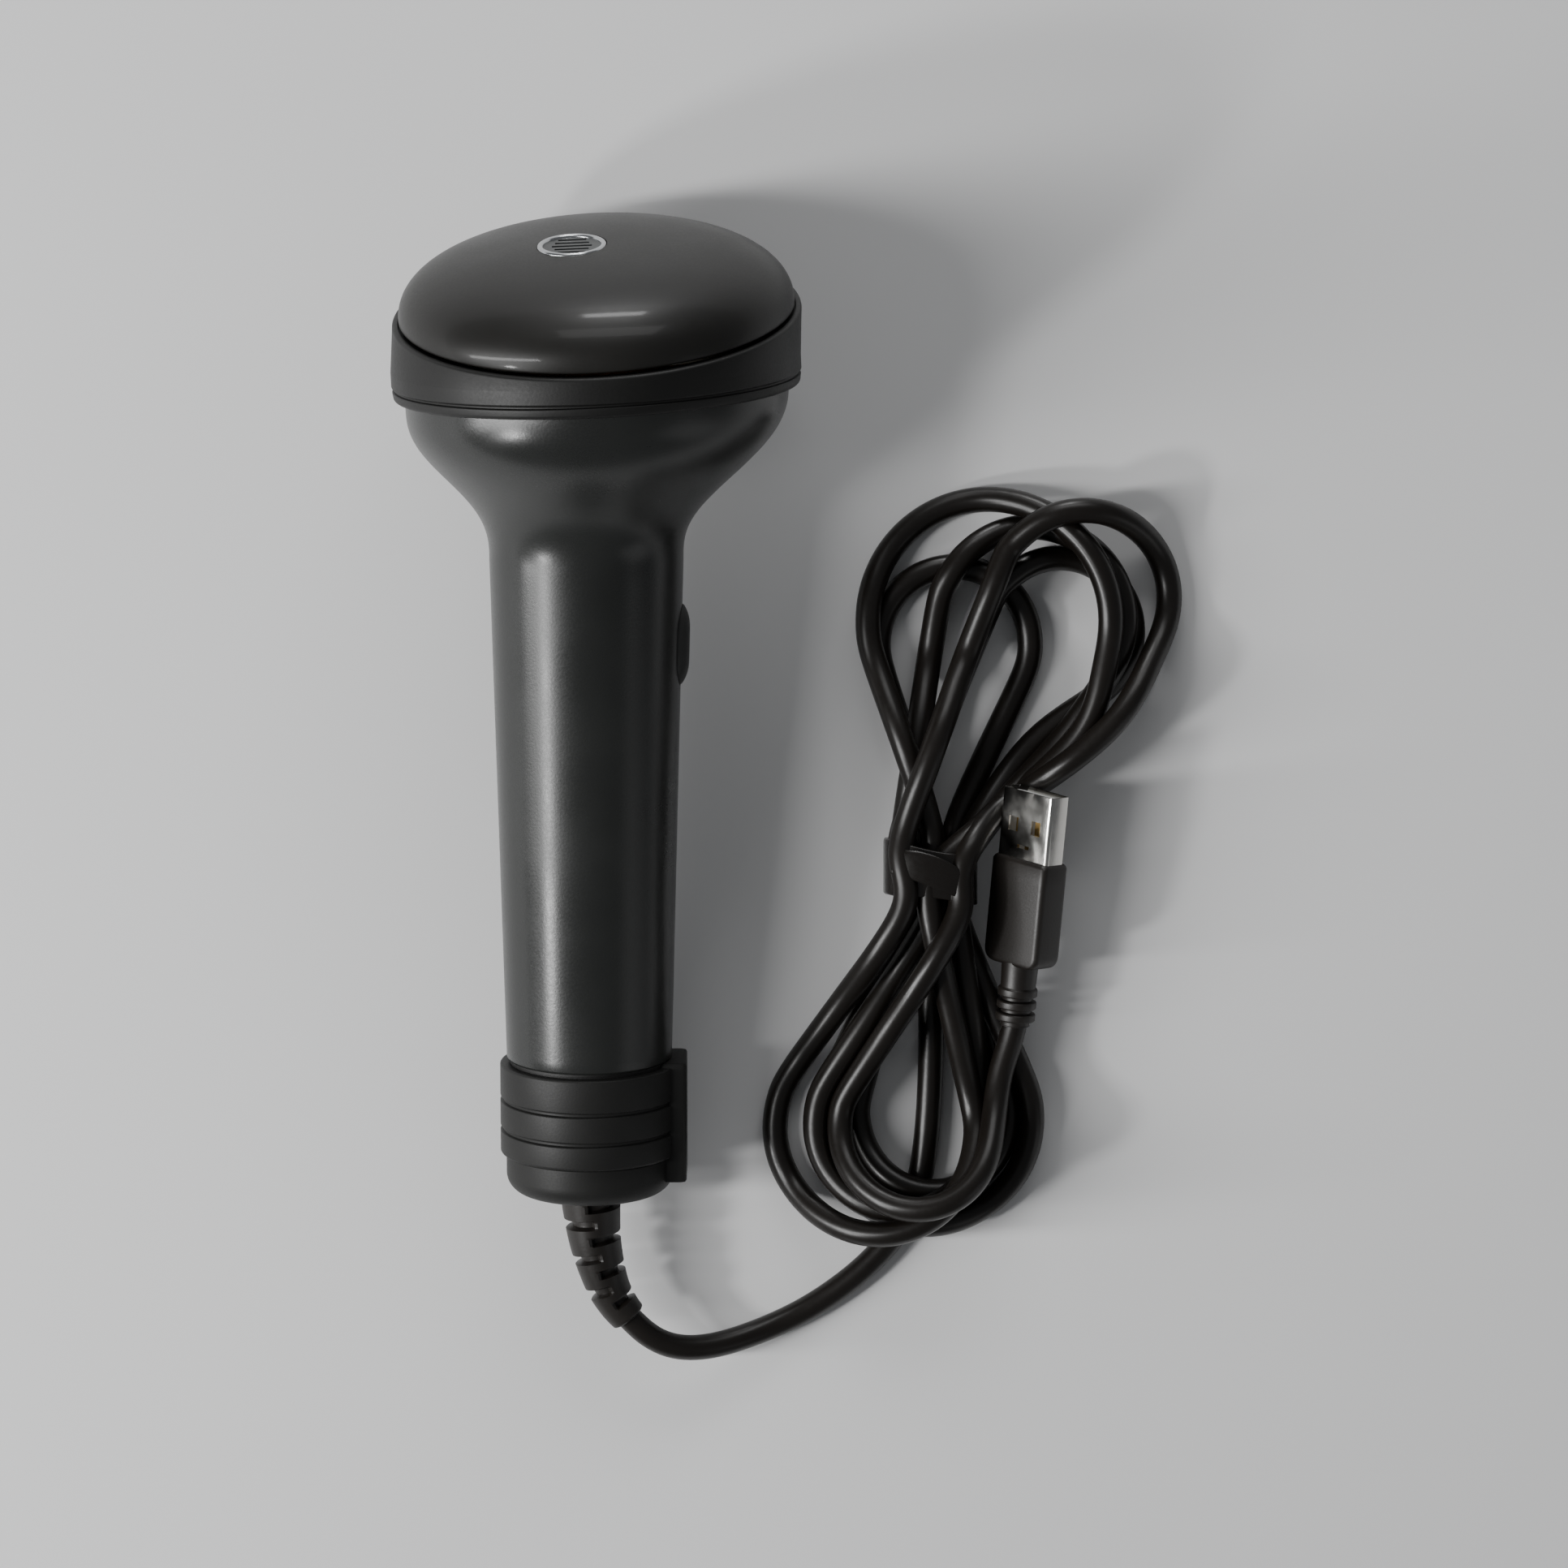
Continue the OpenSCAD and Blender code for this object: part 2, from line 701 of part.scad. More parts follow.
module hank_outline() {
    straight = tie_w / 2 + 0.3;
    polygon(concat([[waist_x[0], waist_y + straight]], arc(upper_left, upper_left_r, 190, 90),
        arc(upper_right, upper_right_r, 90, -35), [[waist_x[1], waist_y + straight], [waist_x[1], waist_y - straight]],
        arc(lower_right, lower_right_r, 15, -90), arc(lower_left, lower_left_r, -90, -200),
        [[waist_x[0], waist_y - straight]]));
}

// Space for the plug beside the waist, down to the end of the plug's own boot;
// under the metal shell the hank stays whole up to shelf_h
module plug_bay() {
    half = (mould_w + mould_t) / 2 * abs(sin(plug_roll)) + bay_gap;
    back = (mould_l + plug_neck_l + plug_boot_l) * cos(plug_pitch);
    shelf_h = cord_d - 0.6;
    translate([plug_at.x, plug_at.y, 0]) rotate([0, 0, plug_turn]) {
        translate([-half, -back, -1]) cube([2 * half + 20, back, 4 * hank_h]);
        translate([-half, -1, shelf_h]) cube([2 * half + 20, usb_l + bay_gap + 1, 4 * hank_h]);
    }
}

module waist_span(l, z0, z1) {
    translate([waist_x[0] - 10, waist_y - l / 2, z0])
        cube([waist_x[1] - waist_x[0] + 20, l, z1 - z0]);
}

module cord_hank() {
    color([0.09, 0.08, 0.07]) difference() {
        union() {
            linear_extrude(hank_h) hank_outline();
            intersection() {
                linear_extrude(tie_top) hank_outline();
                waist_span(waist_l, 0, tie_top);
            }
        }
        plug_bay();
        waist_span(tie_w, -1, tie_t);
    }
}

module cord_tie() {
    color([0.05, 0.05, 0.05]) translate([waist_x[0] - tie_t, waist_y - tie_w / 2, 0]) difference() {
        cube([waist_x[1] - waist_x[0] + 2 * tie_t, tie_w, tie_top + tie_t]);
        translate([tie_t, -1, tie_t])
            cube([waist_x[1] - waist_x[0], tie_w + 2, tie_top - tie_t]);
    }
}

module tie_clasp() {
    translate([0, 0, tie_top + tie_t]) color([0.06, 0.06, 0.06]) intersection() {
        translate([(waist_x[0] + waist_x[1]) / 2, waist_y, -4]) rotate([90, 0, 0])
            cylinder(r = 6, h = tie_w - 1, center = true);
        translate([waist_x[0], waist_y - tie_w, 0]) cube([waist_x[1] - waist_x[0], 2 * tie_w, 5]);
    }
}

module usb_shell() {
    inside = [usb_w - 2 * shell_t, 40, usb_t - 2 * shell_t];
    window = 2.2;
    color([0.75, 0.75, 0.74]) at_plug() difference() {
        translate([-usb_w / 2, 0, -usb_t / 2]) cube([usb_w, usb_l, usb_t]);
        translate([-inside.x / 2, -1, -inside.z / 2]) cube(inside);
        for (x = [-2.7, 2.7]) translate([x - window / 2, usb_l - 7.5, -usb_t])
            cube([window, window + 0.3, 2 * usb_t]);
    }
}

module usb_tongue() {
    color([0.9, 0.9, 0.88]) at_plug()
        translate([-usb_w / 2 + shell_t, 0, -usb_t / 2 + shell_t]) cube([usb_w - 2 * shell_t, usb_l - 0.8, 1.85]);
}

module usb_contacts() {
    contact_x = [-3.5, -1, 1, 3.5];
    color("gold") at_plug() for (x = contact_x)
        translate([x - 0.5, 1, -usb_t / 2 + shell_t + 1.85]) cube([1, usb_l - 3, 0.2]);
}

module usb_overmold() {
    corner = 2.4;
    color([0.09, 0.08, 0.075]) at_plug() translate([0, 0, -mould_t / 2]) linear_extrude(mould_t) {
        translate([-mould_w / 2, -mould_l + corner]) square([mould_w, mould_l - corner]);
        translate([-mould_w / 2 + corner, -mould_l]) square([mould_w - 2 * corner, mould_l]);
        for (s = [-1, 1]) translate([s * (mould_w / 2 - corner), -mould_l + corner]) circle(r = corner);
    }
}

module plug_boot() {
    rib_r = plug_boot_r + 0.5;
    color([0.09, 0.08, 0.075]) at_plug() rotate([90, 0, 0]) rotate_extrude() polygon(concat(
        [[0, mould_l], [plug_boot_r + 0.3, mould_l], [plug_boot_r, mould_l + plug_neck_l]],
        [for (i = [0:2]) let (y = mould_l + plug_neck_l + 0.4 + i * 2.2)
            each [[rib_r, y], [rib_r, y + 1.3], [plug_boot_r - 0.4, y + 1.5], [plug_boot_r - 0.4, y + 2]]],
        [[plug_boot_r - 0.4, mould_l + plug_neck_l + plug_boot_l],
            [0, mould_l + plug_neck_l + plug_boot_l]]));
}

front_housing();
rear_housing();
dome_cover();
bumper_band();
end_collar();
end_cap();
housing_screws();
head_screws();
cap_screws();
seal_ring();
dome_gasket();
sounder_grille();
grille_ring();
sounder();
antenna_bobbin();
antenna_winding();
antenna_leads();
antenna_connector();
main_board();
reader_chip();
controller_chip();
crystal_can();
capacitors();
trigger_switch();
switch_plunger();
trigger_button();
button_gasket();
cord_socket();
cord_connector();
cord_wires();
inner_cord();
cord_clamp();
clamp_screws();
cord_boot();
cord_lead();
cord_hank();
cord_tie();
tie_clasp();
usb_shell();
usb_tongue();
usb_contacts();
usb_overmold();
plug_boot();
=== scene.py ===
"""Hand-held microchip scanner: its visible shells, cord and finishes, laid out as an add-on."""
import json
import math
from types import SimpleNamespace

import bmesh
import bpy
import numpy as np
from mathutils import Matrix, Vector


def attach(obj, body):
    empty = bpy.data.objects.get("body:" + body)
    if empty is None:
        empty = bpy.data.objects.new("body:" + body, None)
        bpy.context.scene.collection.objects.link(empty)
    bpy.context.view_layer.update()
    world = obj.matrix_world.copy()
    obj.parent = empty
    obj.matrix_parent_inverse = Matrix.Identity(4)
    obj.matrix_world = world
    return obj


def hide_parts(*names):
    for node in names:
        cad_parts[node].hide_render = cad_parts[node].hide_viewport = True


bl_info = {
    "name": "Microchip scanner",
    "version": (1, 0, 0),
    "blender": (4, 5, 0),
    "location": "3D View > Sidebar > Scanner",
    "description": "Builds the shells, cord, finishes and stage of a hand-held microchip scanner",
    "category": "Object",
}

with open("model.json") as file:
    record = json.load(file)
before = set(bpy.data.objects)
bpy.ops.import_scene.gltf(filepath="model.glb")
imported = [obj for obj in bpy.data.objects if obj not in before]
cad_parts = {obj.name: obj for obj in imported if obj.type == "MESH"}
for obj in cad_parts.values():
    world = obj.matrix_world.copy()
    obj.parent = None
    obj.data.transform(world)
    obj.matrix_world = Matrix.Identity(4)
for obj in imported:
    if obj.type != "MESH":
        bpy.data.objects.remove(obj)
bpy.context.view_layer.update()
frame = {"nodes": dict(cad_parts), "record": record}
MM = 0.001
TURN = 2 * math.pi
CAP_ROUND = 4  # fillet of the end cap, in millimetres


# ---------------------------------------------------------------- user settings

def length(name, default_mm, text):
    """A length property, given in millimetres and kept in metres."""
    return bpy.props.FloatProperty(
        name=name, description=text, default=default_mm * MM, unit="LENGTH", precision=5)


def colour(name, default, text):
    """A linear colour property."""
    return bpy.props.FloatVectorProperty(
        name=name, description=text, default=default, size=3, subtype="COLOR", min=0, max=1)


class ScannerSizes(bpy.types.PropertyGroup):
    """Sizes of the scanner and its cord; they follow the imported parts."""
    neck_r: length("Neck radius", 16.7, "Radius of the handle under the head")
    foot_r: length("Foot radius", 14.4, "Radius of the handle above the collar")
    neck_z: length("Neck height", 112, "Height of the neck above the end cap")
    foot_z: length("Foot height", 23.9, "Height of the handle's shoulder above the end cap")
    wall: length("Wall", 2.2, "Wall thickness of the shells")
    head_shift: length("Head offset", 2, "Offset of the head towards the trigger side")
    bowl_h: length("Bowl height", 29, "Height of the flared bowl")
    bowl_r: length("Bowl radius", 32.8, "Radius of the bowl at its widest")
    dome_r: length("Dome radius", 33.9, "Radius of the dome's rim")
    dome_h: length("Dome height", 12.9, "Height of the dome above its rim")
    band_h: length("Band height", 13.5, "Height of the bumper band at its middle")
    band_t: length("Band stand-out", 3.1, "How far the band stands out past the rim collar")
    collar_r: length("Collar radius", 15.6, "Outer radius of the grooved collar")
    cap_h: length("Cap height", 7, "Height of the end cap")
    cap_r: length("Cap radius", 14.6, "Outer radius of the end cap")
    lug_w: length("Lug width", 12, "Width of the flat lug")
    lug_t: length("Lug thickness", 2.4, "Thickness of the flat lug")
    trigger_z: length("Trigger height", 97, "Height of the trigger's middle above the end cap")
    trigger_l: length("Trigger length", 14, "Length of the trigger along the handle")
    trigger_w: length("Trigger width", 9, "Width of the trigger around the handle")
    trigger_rise: length("Trigger rise", 1.4, "How far the trigger stands out of the handle")
    ring_r: length("Ring radius", 6, "Outer radius of the bright ring on the dome")
    cord_d: length("Cord diameter", 4.5, "Diameter of the cord")
    tie_w: length("Tie width", 9, "Width of the strap around the hank")
    mould_w: length("Plug width", 13, "Width of the plug's overmould")
    mould_t: length("Plug thickness", 6.4, "Thickness of the plug's overmould")
    mould_l: length("Plug length", 19, "Length of the plug's overmould")
    dome_tilt: bpy.props.FloatProperty(
        name="Dome tilt", description="Forward tilt of the dome", default=math.radians(11), subtype="ANGLE")
    head_roll: bpy.props.FloatProperty(
        name="Head roll", description="Sideways tilt of the head's rim", default=math.radians(2.5),
        subtype="ANGLE")


class ScannerColours(bpy.types.PropertyGroup):
    """Colours of the visible finishes."""
    housing: colour("Housing", (0.0165, 0.0175, 0.0165), "Satin plastic of the handle and bowl")
    dome: colour("Dome", (0.0135, 0.013, 0.0118), "Smoother plastic of the dome")
    band: colour("Band", (0.0055, 0.0055, 0.005), "Black rubber of the bumper band")
    collar: colour("Collar", (0.0145, 0.0145, 0.0138), "Plastic of the collar and end cap")
    button: colour("Trigger", (0.013, 0.0133, 0.0125), "Soft rubber of the trigger")
    cord: colour("Cord", (0.0085, 0.0068, 0.0055), "Jacket of the cord and the plug's overmould")
    grille: colour("Grille", (0.06, 0.063, 0.063), "Plain grille on the dome")
    metal: colour("Plug metal", (0.62, 0.61, 0.58), "Nickel-plated shell of the plug")


def sizes():
    """The sizes as plain numbers, lengths in millimetres, with the ones worked out from them."""
    group = bpy.context.scene.scanner_sizes
    angles = ("dome_tilt", "head_roll")
    s = SimpleNamespace(**{k: getattr(group, k) / (1 if k in angles else MM)
                           for k in ScannerSizes.__annotations__})
    s.band_z = s.neck_z + s.bowl_h
    s.rim_r = s.bowl_r - 0.8
    s.band_r = s.rim_r + s.band_t
    s.rim_mid_z = s.band_z + s.band_h
    s.lie = math.atan((s.band_r - s.collar_r) / (s.band_z - s.cap_h))
    s.rest_h = s.band_r * math.cos(s.lie) - s.band_z * math.sin(s.lie)
    low = -(s.cap_r - CAP_ROUND) * math.sin(s.lie) - CAP_ROUND * (1 - math.cos(s.lie))
    top = s.rim_mid_z * math.cos(s.lie) + math.hypot(
        s.dome_r * math.sin(s.lie + s.dome_tilt), s.dome_h * math.cos(s.lie + s.dome_tilt))
    s.mid_y = (low + top) / 2
    s.spigot_r = s.foot_r - 1.4
    return s


# ---------------------------------------------------------------- places

def turned(p, axis, angle):
    """Points turned about the x (0), y (1) or z (2) axis by an angle, by the right-hand rule."""
    a, b = [(1, 2), (2, 0), (0, 1)][axis]
    q = np.array(p, float)
    q[..., a] = p[..., a] * math.cos(angle) - p[..., b] * math.sin(angle)
    q[..., b] = p[..., a] * math.sin(angle) + p[..., b] * math.cos(angle)
    return q


def lay_down(p):
    """Upright scanner millimetres to metres in the resting place: tipped back, shifted, raised."""
    s = sizes()
    q = turned(p, 0, s.lie - math.pi / 2)
    return (q + [-s.head_shift, -s.mid_y, s.rest_h]) * MM


def at_head(p):
    """From the frame of the bumper band's lower edge to upright scanner millimetres."""
    s = sizes()
    return turned(p, 1, -s.head_roll) + [s.head_shift, 0, s.band_z]


def at_dome(p):
    """From the frame of the dome's rim to upright scanner millimetres."""
    s = sizes()
    return turned(turned(p, 0, s.dome_tilt), 1, -s.head_roll) + [s.head_shift, 0, s.rim_mid_z]


PLUG_AT = (75.1, -26, 12.8)
PLUG_TURN, PLUG_PITCH, PLUG_ROLL = (math.radians(a) for a in (-5, 8, -45))


def at_plug(p):
    """From the plug's own frame, y out of its shell, to metres in the resting place."""
    q = turned(turned(turned(p, 1, PLUG_ROLL), 0, PLUG_PITCH), 2, PLUG_TURN)
    return (q + PLUG_AT) * MM


# ---------------------------------------------------------------- surfaces

def rounded(corners, closed=True, steps=6):
    """An outline through corners (across, along, fillet radius), each fillet a circular arc."""
    pts = np.array([c[:2] for c in corners], float)
    out = []
    for i, corner in enumerate(corners):
        p, fillet = pts[i], corner[2]
        if fillet == 0 or (not closed and i in (0, len(corners) - 1)):
            out.append(p[None])
            continue
        a, b = pts[i - 1] - p, pts[(i + 1) % len(pts)] - p
        la, lb = np.linalg.norm(a), np.linalg.norm(b)
        a, b = a / la, b / lb
        half = math.acos(max(-1, min(1, float(a @ b)))) / 2
        reach = min(fillet / math.tan(half), 0.49 * la, 0.49 * lb)
        r = reach * math.tan(half)
        middle = p + (a + b) / np.linalg.norm(a + b) * math.hypot(reach, r)
        u, v = (p + a * reach - middle) / r, (p + b * reach - middle) / r
        sweep = math.acos(max(-1, min(1, float(u @ v))))
        t = np.linspace(0, 1, steps + 1)[:, None]
        out.append(middle + r * (np.sin((1 - t) * sweep) * u + np.sin(t * sweep) * v) / math.sin(sweep))
    return np.concatenate(out)


def revolved(outline, n=192):
    """Outline (radius, height) turned about the z axis: x = r cos a, y = r sin a, z = height."""
    a = np.arange(n) * TURN / n
    r, z = outline[:, :1], outline[:, 1:]
    return np.stack([r * np.cos(a), r * np.sin(a), z + 0 * a], axis=-1)


def grid_mesh(name, p, wrap_rows=False, ends=False):
    """Quads between the points of a grid (rows, around, 3); around is closed. Rows may be closed
    too, or their ends filled. Meeting points are merged and faces turned outwards."""
    m, n = p.shape[:2]
    index = np.arange(m * n).reshape(m, n)
    low, high = (index, np.roll(index, -1, 0)) if wrap_rows else (index[:-1], index[1:])
    quads = np.stack([low, np.roll(low, -1, 1), np.roll(high, -1, 1), high], axis=-1).reshape(-1, 4)
    faces = quads.tolist()
    if ends:
        faces += [index[0][::-1].tolist(), index[-1].tolist()]
    mesh = bpy.data.meshes.new(name)
    mesh.from_pydata(p.reshape(-1, 3).tolist(), [], faces)
    bm = bmesh.new()
    bm.from_mesh(mesh)
    bmesh.ops.remove_doubles(bm, verts=bm.verts, dist=1e-7)
    bmesh.ops.recalc_face_normals(bm, faces=bm.faces)
    bm.to_mesh(mesh)
    bm.free()
    return mesh


def add(name, mesh):
    """A new object at the origin that shows the mesh."""
    obj = bpy.data.objects.new(name, mesh)
    bpy.context.scene.collection.objects.link(obj)
    return obj


def combine(target, tool, how="DIFFERENCE"):
    """Cuts the tool from the target, or joins them, and removes the tool."""
    step = target.modifiers.new("combine", "BOOLEAN")
    step.object, step.operation, step.solver = tool, how, "EXACT"
    shown = bpy.context.evaluated_depsgraph_get()
    made = bpy.data.meshes.new_from_object(target.evaluated_get(shown))
    target.modifiers.clear()
    target.data = made
    bpy.data.objects.remove(tool)
    return target


def finish_piece(obj, slot, *nodes, body="root"):
    """Smooth shading up to an angle, a finish, and the nodes that the piece stands for."""
    if obj.type == "MESH":
        obj.data.shade_smooth()
        obj.data.set_sharp_from_angle(angle=math.radians(32))
    obj.data.materials.clear()
    obj.data.materials.append(bpy.data.materials["fine_" + slot])
    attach(obj, body)
    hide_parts(*nodes)
    return obj


def rod_tool(name, place, r, y0, y1, x=0.0, z=0.0):
    """A cutting cylinder along y in a given frame."""
    p = revolved(np.array([[r, y0], [r, y1]]), 64)
    p = np.stack([p[..., 0] + x, p[..., 2], p[..., 1] + z], axis=-1)
    return add(name, grid_mesh(name, place(p), ends=True))


def box_tool(name, place, low, high):
    """A cutting block between two corners in a given frame."""
    (x0, y0, z0), (x1, y1, z1) = low, high
    p = np.array([[[x0, y0, z], [x1, y0, z], [x1, y1, z], [x0, y1, z]] for z in (z0, z1)], float)
    return add(name, grid_mesh(name, place(p), ends=True))


def spline(points, spacing):
    """A Catmull-Rom curve through the points, resampled to an even spacing along its length."""
    p = np.array(points, float)
    p = np.concatenate([[2 * p[0] - p[1]], p, [2 * p[-1] - p[-2]]])
    t = np.linspace(0, 1, 24, endpoint=False)[None, :, None]
    a, b, c, d = (p[i:len(p) - 3 + i, None] for i in range(4))
    q = 0.5 * (2 * b + (c - a) * t + (2 * a - 5 * b + 4 * c - d) * t ** 2 + (3 * b - a - 3 * c + d) * t ** 3)
    q = np.concatenate([q.reshape(-1, p.shape[1]), p[-2:-1]])
    run = np.concatenate([[0], np.cumsum(np.linalg.norm(np.diff(q, axis=0), axis=1))])
    at = np.linspace(0, run[-1], max(4, int(run[-1] / spacing)))
    return np.stack([np.interp(at, run, q[:, k]) for k in range(p.shape[1])], axis=-1)


def swept(path, radius):
    """A round tube: each path point carries a ring across the path, radius (points, around)."""
    run = np.gradient(path, axis=0)
    run /= np.linalg.norm(run, axis=1, keepdims=True)
    side = np.cross(run, [0, 0, 1.0])
    side /= np.linalg.norm(side, axis=1, keepdims=True)
    up = np.cross(side, run)
    a = np.arange(radius.shape[1]) * TURN / radius.shape[1]
    ring = np.cos(a)[None, :, None] * side[:, None] + np.sin(a)[None, :, None] * up[:, None]
    return path[:, None] + radius[..., None] * ring


# ---------------------------------------------------------------- the cord's lay

BOOT_END = (4.7, -107, 11)
LEAD = (BOOT_END, (7, -109.6, 10.2), (9.8, -111.6, 9.2), (13, -112.8, 8), (16.5, -113, 6.6),
        (20.5, -112.6, 5), (25, -111.4, 3.6), (29.5, -109.8, 2.7), (34, -107.8, 2.3),
        (38.5, -105.2, 2.3), (43, -102, 2.3),
        (47, -98.6, 2.3), (50.5, -94.8, 2.3), (53.5, -90.5, 2.3), (56, -84, 2.3), (57.4, -74, 2.3),
        (58, -60, 2.3), (57.8, -48, 2.3))
WAIST_Y = -28.5
WAIST_HALF = 8           # from the waist's middle line to where a half-turn starts or ends
TIED_SHARE, TIED_REACH = 0.28, 24   # how far the strap presses heights down, and how far along
LIFT_BEND, LIFT_REACH = 14, 20      # bend radius of a rise over another stretch, and its length
LEAD_LENGTH, TAIL_LENGTH = 70, 26   # ends of the cord whose heights are their own
WAIST_LEFT, WAIST_MID, WAIST_RIGHT = 53.1, 57.7, 62.3
PLUG_TAIL = (72.5, -55.6, 8.6)


class HalfTurn:
    """One lobe of the hank: in from the waist, round a circle, and out by way of some points."""

    def __init__(self, middle, radius, out, column, way=-1):
        self.middle, self.radius, self.way = np.array(middle, float), radius, way
        self.out, self.column = out, column

    def points(self, start):
        """Arc between the two tangents: from the start point, and to the first point on the way out."""
        out = np.array(self.out, float)
        ends = []
        for p, side in ((start, 1), (out[0], -1)):
            reach = p - self.middle
            ends.append(math.atan2(reach[1], reach[0])
                        + side * self.way * math.acos(self.radius / math.hypot(*reach)))
        sweep = (self.way * (ends[1] - ends[0])) % TURN
        a = ends[0] + self.way * np.linspace(0, sweep, int(sweep * self.radius / 3) + 2)
        arc = self.middle + self.radius * np.stack([np.cos(a), np.sin(a)], axis=-1)
        return np.concatenate([arc, out])


def hank_turns():
    """The half-turns in the order in which they were wound."""
    top, low = WAIST_Y + WAIST_HALF, WAIST_Y - WAIST_HALF
    left, mid, right = WAIST_LEFT, WAIST_MID, WAIST_RIGHT
    return (
        HalfTurn((62, 11.5), 13.6, [(right, top)], right),
        HalfTurn((58.5, -72), 13.6, [(left + 1, low), (left, low + 3)], left),
        HalfTurn((80.5, 13.5), 13.2, [(76, -6), (65.5, top)], right),
        HalfTurn((57.5, -73), 18.4, [(left, low)], left),
        HalfTurn((75.5, 15.5), 16.6, [(80.5, -6), (69, -18.5)], right),
        HalfTurn((52.5, -73.5), 15.2, [(mid, low)], mid),
        HalfTurn((68, 15.5), 21.4, [(85, -3), (73, -15.5), (66, -21)], mid),
        HalfTurn((48, -74.5), 17.8, [(left - 1, low)], left),
        HalfTurn((84.5, 19.5), 15.6, [(90.5, -1.5), (77.5, -12.5), (68, -19)], right),
    )


def cord_plan():
    """The cord seen from above, in winding order, ending where the plug's strain relief begins."""
    plan = [np.array([[p[0], p[1]] for p in LEAD])]
    low, top = WAIST_Y - WAIST_HALF, WAIST_Y + WAIST_HALF
    plan.append(np.array([[WAIST_MID, low], [WAIST_MID, WAIST_Y], [WAIST_MID, top]], float))
    for turn in hank_turns():
        plan.append(turn.points(plan[-1][-1]))
        upper = turn.middle[1] > WAIST_Y
        plan.append(np.array([[turn.column, WAIST_Y], [turn.column, low if upper else top]], float))
    last = HalfTurn((55, -74), 13.4, [(70.2, -63), (71.7, -59.4), PLUG_TAIL[:2]], WAIST_MID, way=1)
    plan.append(last.points(plan[-1][-1]))
    return np.concatenate(plan)


def lift(needed, spacing):
    """The lowest smooth line above the needed heights: it falls away from each as a parabola."""
    reach = int(LIFT_REACH / spacing)
    padded = np.pad(needed, reach, mode="edge")
    line = needed.copy()
    for k in range(-reach, reach + 1):
        fall = (k * spacing) ** 2 / (2 * LIFT_BEND)
        line = np.maximum(line, padded[reach + k:reach + k + len(needed)] - fall)
    return line


def below_plug(p):
    """Heights held under the plug's tilted underside, and pressed down where the strap ties them.
    Pressed stretches overlap: the lay keeps its outline there, not a full cord between its lines."""
    s = sizes()
    floor, slope = s.cord_d / 2, s.cord_d / 2 * math.sqrt(2)
    flat = turned(p - [PLUG_AT[0], PLUG_AT[1], 0], 2, -PLUG_TURN)
    across, along = flat[:, 0], flat[:, 1]
    middle = PLUG_AT[2] + along * math.tan(PLUG_PITCH)
    under = middle + np.maximum(across - 3.9, -across - 8.8) - slope
    inside = (along > -20) & (along < 14) & (np.abs(across) < 9)
    tied = 1 - TIED_SHARE * np.exp(-((p[:, 1] - WAIST_Y) / TIED_REACH) ** 2)
    z = floor + (p[:, 2] - floor) * tied
    return np.where(inside, np.minimum(z, np.maximum(under, floor)), z)


def cord_lay(spacing=1.5):
    """Plan points with heights: each stretch is laid on the floor or on what was wound before it,
    then pressed down near the waist and under the plug."""
    s = sizes()
    d, floor = s.cord_d * 1.01, s.cord_d / 2
    flat = cord_plan()
    flat = np.concatenate([flat, np.zeros((len(flat), 1))], axis=1)
    p = spline(flat, spacing)
    for _ in range(6):
        p[1:-1, :2] = (p[:-2, :2] + 2 * p[1:-1, :2] + p[2:, :2]) / 4
    n, block = len(p), 6
    run = spacing * np.arange(n)
    lead = np.array(LEAD)
    start = np.interp(p[:, 0], lead[:, 0], lead[:, 2], right=floor)
    lead_end = int(LEAD_LENGTH / spacing)
    p[:, 2] = np.where(np.arange(n) < lead_end, np.maximum(start, floor), floor)
    for i in range(lead_end, n, block):
        for _ in range(2):
            part = p[i:i + block]
            old = p[:max(0, i - block)]
            gap = np.linalg.norm(part[:, None, :2] - old[None, :, :2], axis=-1)
            rise = old[None, :, 2] + np.sqrt(np.maximum(d * d - gap ** 2, 0))
            part[:, 2] = np.maximum(floor, np.where(gap < d, rise, 0).max(axis=1))
    needed = p[:, 2].copy()
    p[:, 2] = lift(needed, spacing)
    p[:, 2] = below_plug(p)
    for _ in range(12):
        p[1:-1, 2] = (p[:-2, 2] + 2 * p[1:-1, 2] + p[2:, 2]) / 4
    tail = np.clip((run - run[-1] + TAIL_LENGTH) / TAIL_LENGTH, 0, 1)
    ease = tail * tail * (3 - 2 * tail)
    p[:, 2] += ease * (PLUG_TAIL[2] - p[:, 2])
    return spline(p, 1.0)


# ---------------------------------------------------------------- shapes

def casing_radius(z):
    """Outer radius: even growth from foot to neck, then the step 6s^5 - 15s^4 + 10s^3 over the bowl."""
    s = sizes()
    handle = s.foot_r + (s.neck_r - s.foot_r) * (z - s.foot_z) / (s.neck_z - s.foot_z)
    t = np.clip((z - s.neck_z) / s.bowl_h, 0, 1)
    return np.minimum(handle, s.neck_r) + (s.bowl_r - s.neck_r) * t ** 3 * (t * (6 * t - 15) + 10)


